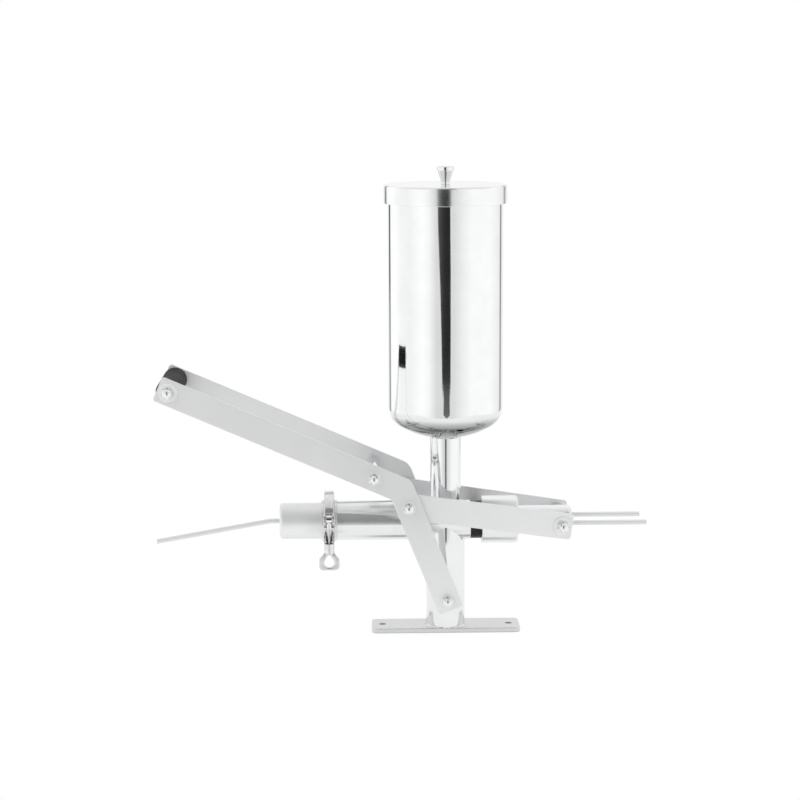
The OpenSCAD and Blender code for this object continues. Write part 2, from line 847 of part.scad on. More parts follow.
module lever_outline() {
    half = lever_w / 2;
    foot = -lever_end * leg_dir;
    tip = bend_at + (arm_l + lever_end) * arm_dir;
    difference() {
        polygon([
            foot - half * leg_side, foot + half * leg_side, outer_corner,
            tip + half * arm_side, tip - half * arm_side, inner_corner
        ]);
        corner_cut(foot - half * leg_side, leg_dir, leg_side, lever_corner_r);
        corner_cut(foot + half * leg_side, leg_dir, -leg_side, lever_corner_r);
        corner_cut(tip + half * arm_side, -arm_dir, -arm_side, lever_corner_r);
        corner_cut(tip - half * arm_side, -arm_dir, arm_side, lever_corner_r);
        corner_cut(outer_corner, -leg_dir, arm_dir, bend_r);
    }
}

module lever_plate(y) {
    color("silver") difference() {
        plate_xz(y, lever_t) translate([0, pivot_z]) lever_outline();
        for (p = [pivot_pin, link_pin, spacer_pin, handle_pin])
            bar_y(p, y - lever_t, y + lever_t, hole_r);
    }
}

module lever_front() {
    lever_plate(-lever_y);
}

module lever_rear() {
    lever_plate(lever_y);
}

// Threaded bar through both lever plates with room for its dome nuts
module through_bolt(at) {
    reach = lever_out_y + washer_t + stud_in_nut;
    bar_y(at, -reach, reach, bolt_r);
}

module spacer_tube() {
    color("silver") tube_y(spacer_pin, -lever_in_y, lever_in_y, spacer_d / 2, hole_r);
}

module spacer_bolt() {
    color("silver") through_bolt(spacer_pin);
}

module spacer_washers() {
    color("silver") washers(spacer_pin, lever_out_y, washer_d, washer_t);
}

module spacer_nuts() {
    color("gainsboro") both_sides() dome_nut(spacer_pin, lever_out_y + washer_t);
}

module handle_tube() {
    color("silver") tube_y(handle_pin, -lever_in_y, lever_in_y, handle_tube_d / 2, hole_r);
}

module handle_bolt() {
    color("silver") through_bolt(handle_pin);
}

module handle_washers() {
    color("silver") washers(handle_pin, lever_out_y, wide_washer_d, washer_t);
}

module handle_nuts() {
    color("gainsboro") both_sides() dome_nut(handle_pin, lever_out_y + washer_t);
}

module grip() {
    half = lever_in_y - grip_end_gap;
    r = grip_d / 2;
    e = grip_edge_r;
    color("black") translate([handle_pin.x, 0, handle_pin.y]) rotate([90, 0, 0]) difference() {
        rotate_extrude() {
            translate([0, e - half]) square([r, 2 * (half - e)]);
            translate([0, -half]) square([r - e, 2 * half]);
            for (s = [-1, 1])
                translate([r - e, s * (half - e)]) circle(r = e, $fn = 48);
        }
        cylinder(h = 3 * half, r = handle_tube_d / 2 + pin_play, center = true);
    }
}

// Link bolts with a hexagon head inside and a dome nut outside
module link_bolts() {
    head_y = link_in_y_lever - washer_t;
    tip_y = lever_out_y + washer_t + stud_in_nut;
    color("silver") both_sides() {
        bar_y(link_pin, head_y - head_h / 2, tip_y, bolt_r);
        translate([link_pin.x, head_y, link_pin.y]) rotate([90, 0, 0])
            cylinder(h = head_h, r = nut_af / 2 * hex_to_corner, $fn = 6);
    }
}

module link_spacers() {
    color("silver") both_sides() tube_y(link_pin, link_out_y_lever, lever_in_y, link_spacer_r, hole_r);
}

module link_inner_washers() {
    color("silver") both_sides()
        tube_y(link_pin, link_in_y_lever - washer_t, link_in_y_lever, link_washer_r, hole_r);
}

module link_washers() {
    color("silver") washers(link_pin, lever_out_y, washer_d, washer_t);
}

module link_nuts() {
    color("gainsboro") both_sides() dome_nut(link_pin, lever_out_y + washer_t);
}

// ---------- links ----------

module link_outline() {
    half = link_w / 2;
    low = -link_l - link_end;
    difference() {
        translate([low, -half]) square([link_l + 2 * link_end, link_w]);
        for (s = [-1, 1]) {
            corner_cut([low, s * half], [1, 0], [0, -s], link_corner_r);
            corner_cut([link_end, s * half], [-1, 0], [0, -s], link_corner_r);
        }
    }
}

// Link on the front (side = -1) or at the rear (side = 1), with its holes square to the pivots
module link_plate(side) {
    color("silver") difference() {
        translate([head_x, side * link_y_head, pump_z]) rotate([0, 0, -side * link_splay])
            plate_xz(0, link_t) rotate(-link_slope) link_outline();
        for (end = [[head_pin, link_y_head, hole_r], [link_pin, link_y_lever, bolt_r + open_pivot_play]])
            bar_y(end[0], side * end[1] - link_w / 2, side * end[1] + link_w / 2, end[2]);
    }
}

module link_front() {
    link_plate(-1);
}

module link_rear() {
    link_plate(1);
}

// ---------- plunger ----------

module plunger() {
    color("dimgray") difference() {
        turned_x(0) difference() {
            translate([0, -plunger_front]) square([plunger_r, plunger_front + collar_x]);
            for (i = [0, 1])
                translate([seal_ring_r, seal_first + i * seal_step - plunger_front]) circle(r = seal_r);
        }
        bar_x(-plunger_front - cut, collar_x, passage_d / 2);
        bar_x(spigot_x, collar_x + cut, spigot_r + pin_play);
    }
}

module plunger_seals() {
    color("black")
        for (i = [0, 1])
            turned_x(seal_first + i * seal_step - plunger_front)
                translate([seal_ring_r, 0]) circle(r = seal_r);
}

module stop_collar() {
    r = collar_d / 2;
    bore = rod_r + pin_play;
    front_edge = 0.6;
    end_edge = 1.2;
    end_edge_l = 2.5;
    color("gainsboro") turned_x(collar_x) polygon([
        [bore, 0], [r - front_edge, 0], [r, front_edge], [r, collar_l - end_edge_l],
        [r - end_edge, collar_l], [bore, collar_l]
    ]);
}

module plunger_rod() {
    e = rod_edge_r;
    len = rod_end_x - collar_x;
    color("whitesmoke") difference() {
        turned_x(collar_x) {
            square([rod_r, len - e]);
            square([rod_r - e, len]);
            translate([rod_r - e, len - e]) circle(r = e);
            translate([0, -spigot_l]) square([spigot_r, spigot_l + cut]);
        }
        bar_x(collar_x + rod_plate, rod_end_x - rod_end_plate, rod_bore_r);
        bar_x(spigot_x - cut, collar_x + rod_plate + cut, passage_d / 2);
        bar_y(head_pin, -rod_d, rod_d, sleeve_r);
    }
}

module crosshead_sleeve() {
    color("silver") difference() {
        bar_y(head_pin, -link_in_y_head, link_in_y_head, sleeve_r);
        bar_y(head_pin, -tapped_y - cut, tapped_y + cut, passage_d / 2);
        both_sides() bar_y(head_pin, tapped_y, link_in_y_head + cut, hole_r);
        for (s = [-1, 1])
            bar_x(head_x, head_x + sleeve_d, twin_d / 2, s * twin_y);
        bar_x(head_x - sleeve_d, head_x, passage_d / 2);
    }
}

module crosshead_studs() {
    color("silver") both_sides()
        bar_y(head_pin, tapped_y + stud_foot_gap, link_out_y_head + washer_t + stud_in_nut, bolt_r);
}

module crosshead_washers() {
    color("silver") washers(head_pin, link_out_y_head, wide_washer_d, washer_t);
}

module crosshead_nuts() {
    color("gainsboro") both_sides() dome_nut(head_pin, link_out_y_head + washer_t);
}

module twin_tube(y, l) {
    start = head_x + bolt_r;
    color("silver") difference() {
        bar_x(start, head_x + l, twin_d / 2, y);
        bar_x(start - cut, head_x + l + cut, twin_bore / 2, y);
    }
}

module twin_tube_near() {
    twin_tube(-twin_y, twin_near_l);
}

module twin_tube_far() {
    twin_tube(twin_y, twin_far_l);
}

base_plate();
column();
column_weld_bead();
pump_cylinder();
neck_tube();
neck_weld_bead();
hopper();
lid();
lid_knob();
knob_screw();
pivot_tube();
pivot_bolt();
pivot_washers();
pivot_nuts();
pump_ferrule();
gasket();
cap_ferrule();
outlet_cap();
nozzle();
clamp_upper();
clamp_lower();
clamp_hinge_pin();
swing_pin();
swing_bolt();
wing_nut();
lever_front();
lever_rear();
spacer_tube();
spacer_bolt();
spacer_washers();
spacer_nuts();
handle_tube();
handle_bolt();
handle_washers();
handle_nuts();
grip();
link_bolts();
link_spacers();
link_inner_washers();
link_washers();
link_nuts();
link_front();
link_rear();
plunger();
plunger_seals();
stop_collar();
plunger_rod();
crosshead_sleeve();
crosshead_studs();
crosshead_washers();
crosshead_nuts();
twin_tube_near();
twin_tube_far();
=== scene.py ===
"""Dressed scene of a hand-lever churro filler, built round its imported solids.

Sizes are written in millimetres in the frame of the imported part, and become metres as a mesh is made.
"""

import logging
import math
from dataclasses import dataclass
from enum import Enum
from typing import Callable, Iterable, Sequence

import bmesh
import bpy
from mathutils import Matrix, Vector


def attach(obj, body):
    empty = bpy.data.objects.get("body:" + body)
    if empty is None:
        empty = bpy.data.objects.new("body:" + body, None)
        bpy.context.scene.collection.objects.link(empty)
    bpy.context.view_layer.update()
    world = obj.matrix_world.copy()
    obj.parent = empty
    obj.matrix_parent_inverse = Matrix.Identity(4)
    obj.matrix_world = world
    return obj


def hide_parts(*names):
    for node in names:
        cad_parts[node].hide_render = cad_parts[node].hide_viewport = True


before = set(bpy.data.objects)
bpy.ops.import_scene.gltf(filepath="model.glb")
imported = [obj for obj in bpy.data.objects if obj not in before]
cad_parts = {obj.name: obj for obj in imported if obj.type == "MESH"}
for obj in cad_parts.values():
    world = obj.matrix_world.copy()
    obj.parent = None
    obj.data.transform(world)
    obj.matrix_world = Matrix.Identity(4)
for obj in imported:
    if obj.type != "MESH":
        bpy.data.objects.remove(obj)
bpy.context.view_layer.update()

MM = 0.001
IMAGE_PX = 800
WHITE = (1.0, 1.0, 1.0, 1.0)
MIX_DARK, MIX_LIGHT, MIX_RESULT = 6, 7, 2  # the Mix node's sockets for colours
LOG = logging.getLogger("churro_filler")

Point = tuple[float, float]
Point3 = tuple[float, float, float]
Socket = bpy.types.NodeSocket
Value = float | Socket


class Axis(Enum):
    """Direction of a turned piece's own axis in the row frame."""

    X = "x"
    Y = "y"
    Z = "z"


class Body(Enum):
    """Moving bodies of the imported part."""

    FRAME = "frame"
    LID = "lid"
    LEVER = "lever"
    GRIP = "grip"
    PLUNGER = "plunger"
    LINK_FRONT = "link_front"
    LINK_REAR = "link_rear"
    SWING_BOLT = "swing_bolt"
    WING_NUT = "wing_nut"


class Slot(Enum):
    """Material slots of the record."""

    POLISHED = "polished_steel"
    BRUSHED = "brushed_steel"
    FASTENER = "fastener_steel"
    CAST = "cast_steel"
    KNOB = "knob_steel"
    WELD = "weld_steel"
    GRIP = "grip_black"
    PLUNGER = "plunger_black"
    SEAL = "seal_black"
    GASKET = "seal_white"


# ---------- finishes ----------


class Graph:
    """A shader node tree with short calls to add and join nodes."""

    def __init__(self, tree: bpy.types.NodeTree) -> None:
        """Empties the tree.

        Args:
            tree: the node tree to fill.
        """
        tree.nodes.clear()
        self.tree = tree

    def node(self, kind: str, values: dict | None = None, **settings: object) -> bpy.types.Node:
        """Adds a node.

        Args:
            kind: the node type without its ShaderNode prefix.
            values: input name or number to a value or to another node's output socket.
            settings: attributes of the node.

        Returns:
            The node.
        """
        made = self.tree.nodes.new("ShaderNode" + kind)
        for key, value in settings.items():
            setattr(made, key, value)
        for key, value in (values or {}).items():
            if isinstance(value, Socket):
                self.tree.links.new(value, made.inputs[key])
            else:
                made.inputs[key].default_value = value
        return made

    def show(self, kind: str, result: Socket) -> None:
        """Adds an output node of a kind and links the tree's result to it."""
        self.tree.links.new(result, self.node(kind).inputs[0])

    def math(self, operation: str, first: Value, second: Value = 0.0) -> Socket:
        """Adds a Math node and gives its output, for an operation on one or two values."""
        return self.node("Math", {0: first, 1: second}, operation=operation).outputs[0]

    def noise(self, vector: Socket, scale: float, detail: float, rough: float) -> Socket:
        """Adds a noise texture.

        Args:
            vector: the coordinate socket.
            scale: features per metre.
            detail: octaves.
            rough: weight of the finer octaves.

        Returns:
            The factor socket.
        """
        values = {"Vector": vector, "Scale": scale, "Detail": detail, "Roughness": rough}
        return self.node("TexNoise", values).outputs[0]

    def spread(self, value: Value, low: float, high: float, start: float = 0.0, end: float = 1.0) -> Socket:
        """Maps a value range to another one, held at its ends.

        Args:
            value: the socket to map.
            low: result at start.
            high: result at end.
            start: input that gives low.
            end: input that gives high.

        Returns:
            The output socket.
        """
        values = {"Value": value, "From Min": start, "From Max": end, "To Min": low, "To Max": high}
        return self.node("MapRange", values, clamp=True).outputs[0]

    def smooth(self, value: Value, start: float, end: float) -> Socket:
        """Rises smoothly from 0 to 1 as the value goes from start to end."""
        values = {"Value": value, "From Min": start, "From Max": end}
        return self.node("MapRange", values, interpolation_type="SMOOTHSTEP").outputs[0]

    def tint(self, pattern: Socket, dark: Sequence[float], light: Sequence[float],
             start: float = 0.3, end: float = 0.7) -> Socket:
        """Mixes two colours by a pattern.

        Args:
            pattern: the pattern's value.
            dark: colour up to the value start.
            light: colour from the value end.
            start: value where the mix begins.
            end: value where the mix ends.

        Returns:
            The colour socket.
        """
        factor = self.spread(pattern, 0.0, 1.0, start, end)
        made = self.node("Mix", {0: factor}, data_type="RGBA")
        made.inputs[MIX_DARK].default_value = (*dark, 1.0)
        made.inputs[MIX_LIGHT].default_value = (*light, 1.0)
        return made.outputs[MIX_RESULT]

    def ramp(self, value: Value, stops: Sequence[Point]) -> Socket:
        """Maps a value to a grey level along a few stops.

        Args:
            value: the socket to map.
            stops: (value, level) pairs in rising order.

        Returns:
            The level socket.
        """
        low, high = stops[0][0], stops[-1][0]
        made = self.node("ValToRGB", {0: self.spread(value, 0.0, 1.0, low, high)})
        elements = made.color_ramp.elements
        while len(elements) < len(stops):
            elements.new(1.0)
        for element, (at, level) in zip(elements, stops):
            element.position = (at - low) / (high - low)
            element.color = (level, level, level, 1.0)
        return made.outputs[0]

    def shade_in_gaps(self, distance: float, dark: float) -> Socket:
        """Gives a painted shade factor: 1 in the open, falling to dark deep in slots, holes and narrow gaps.
        """
        made = self.node("AmbientOcclusion", {"Distance": distance}, samples=8)
        return self.spread(made.outputs["AO"], dark, 1.0, 0.0, 0.55)

    def shaded(self, color: Socket, factor: Socket) -> Socket:
        """Multiplies a colour by a grey factor."""
        return self.node("VectorMath", {0: color, 1: factor}, operation="MULTIPLY").outputs[0]

    def bump(self, height: Socket, distance: float, below: Socket | None = None) -> Socket:
        """Adds a Bump node.

        Args:
            height: the height socket.
            distance: height in metres of a full step.
            below: normal of a coarser bump that this one rides on.

        Returns:
            The normal socket.
        """
        values = {"Height": height, "Distance": distance, "Strength": 1.0}
        if below is not None:
            values["Normal"] = below
        return self.node("Bump", values).outputs[0]


@dataclass(frozen=True)
class Finish:
    """A procedural finish. The pattern lies in each piece's own coordinates, so it moves with the piece."""

    name: str
    slot: Slot
    color: Point3

    def material(self) -> bpy.types.Material:
        """Makes the material once, and gives the same one after that.

        Returns:
            The material.
        """
        found = bpy.data.materials.get(self.name)
        if found:
            return found
        made = bpy.data.materials.new(self.name)
        made.use_nodes = True
        graph = Graph(made.node_tree)
        shader = graph.node("BsdfPrincipled")
        graph.show("OutputMaterial", shader.outputs[0])
        self.dress(graph, shader)
        return made

    def dress(self, graph: Graph, shader: bpy.types.Node) -> None:
        """Sets and links the shader's sockets; each finish has its own."""
        raise NotImplementedError

    def place(self, graph: Graph, scale: Point3 = (1, 1, 1), turn: Point3 = (0, 0, 0)) -> Socket:
        """Gives the piece's own coordinates, turned and then scaled.

        Args:
            graph: the finish's node tree.
            scale: scale along each axis.
            turn: turn about each axis in degrees.

        Returns:
            The coordinate socket.
        """
        source = graph.node("TexCoord").outputs["Object"]
        turned = graph.node("Mapping", {"Vector": source, "Rotation": [math.radians(a) for a in turn]})
        return graph.node("Mapping", {"Vector": turned.outputs[0], "Scale": scale}).outputs[0]

    def shades(self, low: float, high: float) -> tuple[list[float], list[float]]:
        """The finish's colour, darkened and lightened."""
        return [c * low for c in self.color], [min(1.0, c * high) for c in self.color]


@dataclass(frozen=True)
class PolishedSteel(Finish):
    """Polished stainless steel with faint waves and fine polishing lines across one axis.

    Attributes:
        lines: density of the polishing lines along each axis, per metre.
        sheen: least and greatest roughness.
        wave: height of the waves in metres.
        turned: axis of a turned piece, whose lines run round it.
        brush: anisotropy of a turned piece.
        painted_gap_shade: reach in metres of the shade in narrow gaps, and its darkest level.
        underside: (height in metres, level) stops of painted shade that darken the underside.
        line_depth: height of the polishing lines in metres.
    """

    lines: Point3 = (3.0, 3.0, 900.0)
    sheen: Point = (0.035, 0.085)
    wave: float = 0.00016
    turned: Axis | None = None
    brush: float = 0.0
    painted_gap_shade: Point = (0.005, 0.12)
    underside: Sequence[Point] = ()
    line_depth: float = 0.0000012

    def dress(self, graph: Graph, shader: bpy.types.Node) -> None:
        """Links waves, polishing lines and smudges, and brushes turned pieces round their own axis.

        Args:
            graph: the finish's node tree.
            shader: its shader node.
        """
        plain = self.place(graph)
        lines = graph.noise(self.place(graph, self.lines), 1.0, 4.0, 0.7)
        smudge = graph.noise(plain, 34.0, 5.0, 0.62)
        waves = graph.noise(plain, 17.0, 1.0, 0.4)
        low, high = self.shades(0.965, 1.02)
        link = graph.tree.links.new
        tone = graph.tint(smudge, low, high)
        # painted shade: the base colour darkens towards the underside, by height
        if self.underside:
            height = graph.node("SeparateXYZ", {0: plain}).outputs[2]
            tone = graph.shaded(tone, graph.ramp(height, self.underside))
        # painted shade: the base colour darkens in narrow gaps, slots and holes
        link(graph.shaded(tone, graph.shade_in_gaps(*self.painted_gap_shade)), shader.inputs["Base Color"])
        smear = graph.spread(smudge, 0.0, 0.03, 0.45, 0.75)
        rough = graph.math("ADD", graph.spread(lines, *self.sheen, 0.25, 0.8), smear)
        if self.turned:
            round_axis = graph.node("Tangent", direction_type="RADIAL", axis=self.turned.value.upper())
            link(round_axis.outputs[0], shader.inputs["Tangent"])
            shader.inputs["Anisotropic"].default_value = self.brush
            shader.inputs["Anisotropic Rotation"].default_value = 0.25
        link(rough, shader.inputs["Roughness"])
        coarse = graph.bump(waves, self.wave)
        link(graph.bump(lines, self.line_depth, coarse), shader.inputs["Normal"])
        shader.inputs["Metallic"].default_value = 1.0


@dataclass(frozen=True)
class BrushedSteel(Finish):
    """Stainless sheet or bar with straight grain, a few longer scratches and dull patches.

    Attributes:
        turn: turn of the grain about each axis, in degrees.
        grain: density of the grain along each axis, per metre.
        dull: least and greatest roughness.
        depth: height of the grain in metres.
        metal: share of metal in the shader. A lower share gives a softer sheen.
        painted_gap_shade: reach in metres of the shade in narrow gaps, and its darkest level.
    """

    turn: Point3 = (0.0, 0.0, 0.0)
    grain: Point3 = (22.0, 2600.0, 2600.0)
    dull: Point = (0.32, 0.42)
    depth: float = 0.000002
    metal: float = 1.0
    painted_gap_shade: Point = (0.005, 0.12)

    def dress(self, graph: Graph, shader: bpy.types.Node) -> None:
        """Links grain, scratches and cloudy wear.

        Args:
            graph: the finish's node tree.
            shader: its shader node.
        """
        fine = graph.noise(self.place(graph, self.grain, self.turn), 1.0, 4.0, 0.75)
        long_grain = tuple(s * f for s, f in zip(self.grain, (0.25, 0.45, 0.45)))
        coarse = graph.noise(self.place(graph, long_grain, self.turn), 1.0, 2.0, 0.5)
        cloud = graph.noise(self.place(graph), 26.0, 4.0, 0.6)
        both = graph.math("ADD", graph.math("MULTIPLY", fine, 0.6), graph.math("MULTIPLY", coarse, 0.4))
        low, high = self.shades(0.965, 1.02)
        link = graph.tree.links.new
        tone = graph.tint(both, low, high)
        # painted shade: the base colour darkens in narrow gaps, slots and holes
        link(graph.shaded(tone, graph.shade_in_gaps(*self.painted_gap_shade)), shader.inputs["Base Color"])
        patches = graph.spread(cloud, -0.03, 0.05, 0.35, 0.7)
        rough = graph.math("ADD", graph.spread(both, *self.dull, 0.3, 0.7), patches)
        link(rough, shader.inputs["Roughness"])
        scratch = graph.spread(coarse, 0.0, 1.0, 0.70, 0.78)
        height = graph.math("SUBTRACT", fine, graph.math("MULTIPLY", scratch, 0.5))
        link(graph.bump(height, self.depth), shader.inputs["Normal"])
        shader.inputs["Metallic"].default_value = self.metal


@dataclass(frozen=True)
class CastSteel(Finish):
    """Investment-cast and tumbled stainless steel: fine pits, soft gloss.

    Attributes:
        sheen: least and greatest roughness.
        lump_depth: height of the cast skin's soft lumps in metres.
        pit_depth: depth of the fine pits in metres.
        painted_gap_shade: reach in metres of the shade in narrow gaps, and its darkest level.
    """

    sheen: Point = (0.16, 0.30)
    lump_depth: float = 0.00008
    pit_depth: float = 0.00001
    painted_gap_shade: Point = (0.009, 0.02)

    def dress(self, graph: Graph, shader: bpy.types.Node) -> None:
        """Links pits and gloss.

        Args:
            graph: the finish's node tree.
            shader: its shader node.
        """
        plain = self.place(graph)
        grainy = graph.noise(plain, 900.0, 3.0, 0.6)
        lumps = graph.noise(plain, 160.0, 2.0, 0.5)
        low, high = self.shades(0.88, 1.04)
        link = graph.tree.links.new
        tone = graph.tint(lumps, low, high)
        # painted shade: the base colour falls almost to black deep in slots and gaps
        link(graph.shaded(tone, graph.shade_in_gaps(*self.painted_gap_shade)), shader.inputs["Base Color"])
        link(graph.spread(grainy, *self.sheen, 0.3, 0.7), shader.inputs["Roughness"])
        soft = graph.bump(lumps, self.lump_depth)
        link(graph.bump(grainy, self.pit_depth, soft), shader.inputs["Normal"])
        shader.inputs["Metallic"].default_value = 1.0


@dataclass(frozen=True)
class WeldSteel(Finish):
    """Dressed weld bead with straw tint and ripples.

    Attributes:
        sheen: least and greatest roughness.
        straw: tint of the heated steel, as shares of the colour.
        depth: height of the ripples in metres.
    """

    sheen: Point = (0.18, 0.36)
    straw: Point3 = (1.0, 0.98, 0.93)
    depth: float = 0.00012

    def dress(self, graph: Graph, shader: bpy.types.Node) -> None:
        """Links heat tint and ripples.

        Args:
            graph: the finish's node tree.
            shader: its shader node.
        """
        plain = self.place(graph)
        ripple = graph.noise(plain, 520.0, 2.0, 0.5)
        heat = graph.noise(plain, 70.0, 2.0, 0.5)
        link = graph.tree.links.new
        tinted = [c * share for c, share in zip(self.color, self.straw)]
        link(graph.tint(heat, tinted, self.color, 0.35), shader.inputs["Base Color"])
        link(graph.spread(ripple, *self.sheen, 0.3, 0.7), shader.inputs["Roughness"])
        link(graph.bump(ripple, self.depth), shader.inputs["Normal"])
        shader.inputs["Metallic"].default_value = 1.0


@dataclass(frozen=True)
class Rubber(Finish):
    """Moulded rubber or silicone: fine grain, worn to a sheen in patches.

    Attributes:
        dull: least and greatest roughness.
        lines: density of the grain along each axis, per metre.
        depth: height of the grain in metres.
        bend: index of refraction.
    """

    dull: Point = (0.38, 0.58)
    lines: Point3 = (420.0, 420.0, 420.0)
    depth: float = 0.00003
    bend: float = 1.25

    def dress(self, graph: Graph, shader: bpy.types.Node) -> None:
        """Links grain and worn patches.

        Args:
            graph: the finish's node tree.
            shader: its shader node.
        """
        grainy = graph.noise(self.place(graph, self.lines), 1.0, 3.0, 0.6)
        worn = graph.noise(self.place(graph), 40.0, 3.0, 0.5)
        low, high = self.shades(0.75, 1.35)
        link = graph.tree.links.new
        link(graph.tint(worn, low, high, end=0.75), shader.inputs["Base Color"])
        gloss = graph.spread(worn, *self.dull[::-1], 0.3, 0.75)
        rough = graph.math("ADD", gloss, graph.spread(grainy, -0.04, 0.04))
        link(rough, shader.inputs["Roughness"])
        link(graph.bump(grainy, self.depth), shader.inputs["Normal"])
        shader.inputs["IOR"].default_value = self.bend


# ---------- outlines ----------


def rounded(points: Sequence[Point], radii: Sequence[float], steps: int = 8) -> list[Point]:
    """Rounds the corners of a closed outline.

    Args:
        points: the corners, in order.
        radii: one radius for each corner, 0 where it stays sharp.
        steps: spans of a rounded corner.

    Returns:
        The new outline.
    """
    made: list[Point] = []
    count = len(points)
    for i, (corner, radius) in enumerate(zip(points, radii)):
        here = Vector(corner)
        before = (Vector(points[i - 1]) - here).normalized()
        after = (Vector(points[(i + 1) % count]) - here).normalized()
        if radius <= 0 or before.angle(after) > math.radians(179.5):
            made.append(tuple(here))
            continue
        half = before.angle(after) / 2
        centre = here + (before + after).normalized() * radius / math.sin(half)
        first = here + before * radius / math.tan(half) - centre
        sweep = math.pi - 2 * half
        turn = 1 if first.x * (here - centre).y - first.y * (here - centre).x > 0 else -1
        for k in range(steps + 1):
            angle = turn * sweep * k / steps
            c, s = math.cos(angle), math.sin(angle)
            made.append((centre.x + first.x * c - first.y * s, centre.y + first.x * s + first.y * c))
    return made


def chamfered_ring(inner: float, outer: float, low: float, high: float, edge: float) -> list[Point]:
    """Closed profile (radius, height) of a ring with small rounded edges."""
    corners = [(inner, low), (outer, low), (outer, high), (inner, high)]
    return rounded(corners, [edge] * 4, 3)


def bar_profile(radius: float, low: float, high: float, edges: Point, steps: int) -> list[Point]:
    """Closed profile (radius, height) of a solid bar with its lower and upper edge rounded."""
    corners = [(0.0, low), (radius, low), (radius, high), (0.0, high)]
    return rounded(corners, [0, *edges, 0], steps)


def circle_outline(centre: Point, radius: float, steps: int = 48) -> list[Point]:
    """Points of a circle."""
    angles = (2 * math.pi * k / steps for k in range(steps))
    return [(centre[0] + radius * math.cos(a), centre[1] + radius * math.sin(a)) for a in angles]


def arc_points(centre: Point, radius: float, start: float, end: float, steps: int) -> list[Point]:
    """Points of an arc, with its angles in degrees."""
    angles = (math.radians(start + (end - start) * k / steps) for k in range(steps + 1))
    return [(centre[0] + radius * math.cos(a), centre[1] + radius * math.sin(a)) for a in angles]


def along(axis: Axis, origin: Point3) -> Matrix:
    """Matrix that puts a local +Z axis along a row axis, from an origin."""
    turn = {Axis.X: ("Y", 90.0), Axis.Y: ("X", -90.0), Axis.Z: ("Z", 0.0)}[axis]
    return Matrix.Translation(origin) @ Matrix.Rotation(math.radians(turn[1]), 4, turn[0])


def upright(origin: Point3) -> Matrix:
    """Matrix that stands a flat outline in the XZ plane, with its thickness along Y."""
    return Matrix.Translation(origin) @ Matrix.Rotation(math.radians(90), 4, "X")


def sideways(origin: Point3) -> Matrix:
    """Matrix that stands a flat outline in the YZ plane, with its thickness along X."""
    return Matrix.Translation(origin) @ Matrix(((0, 0, 1, 0), (1, 0, 0, 0), (0, 1, 0, 0), (0, 0, 0, 1)))


MIRROR_Y = Matrix.Diagonal((1, -1, 1, 1))
SHARP = 32.0  # angle in degrees above which an edge looks sharp


# ---------- meshes ----------


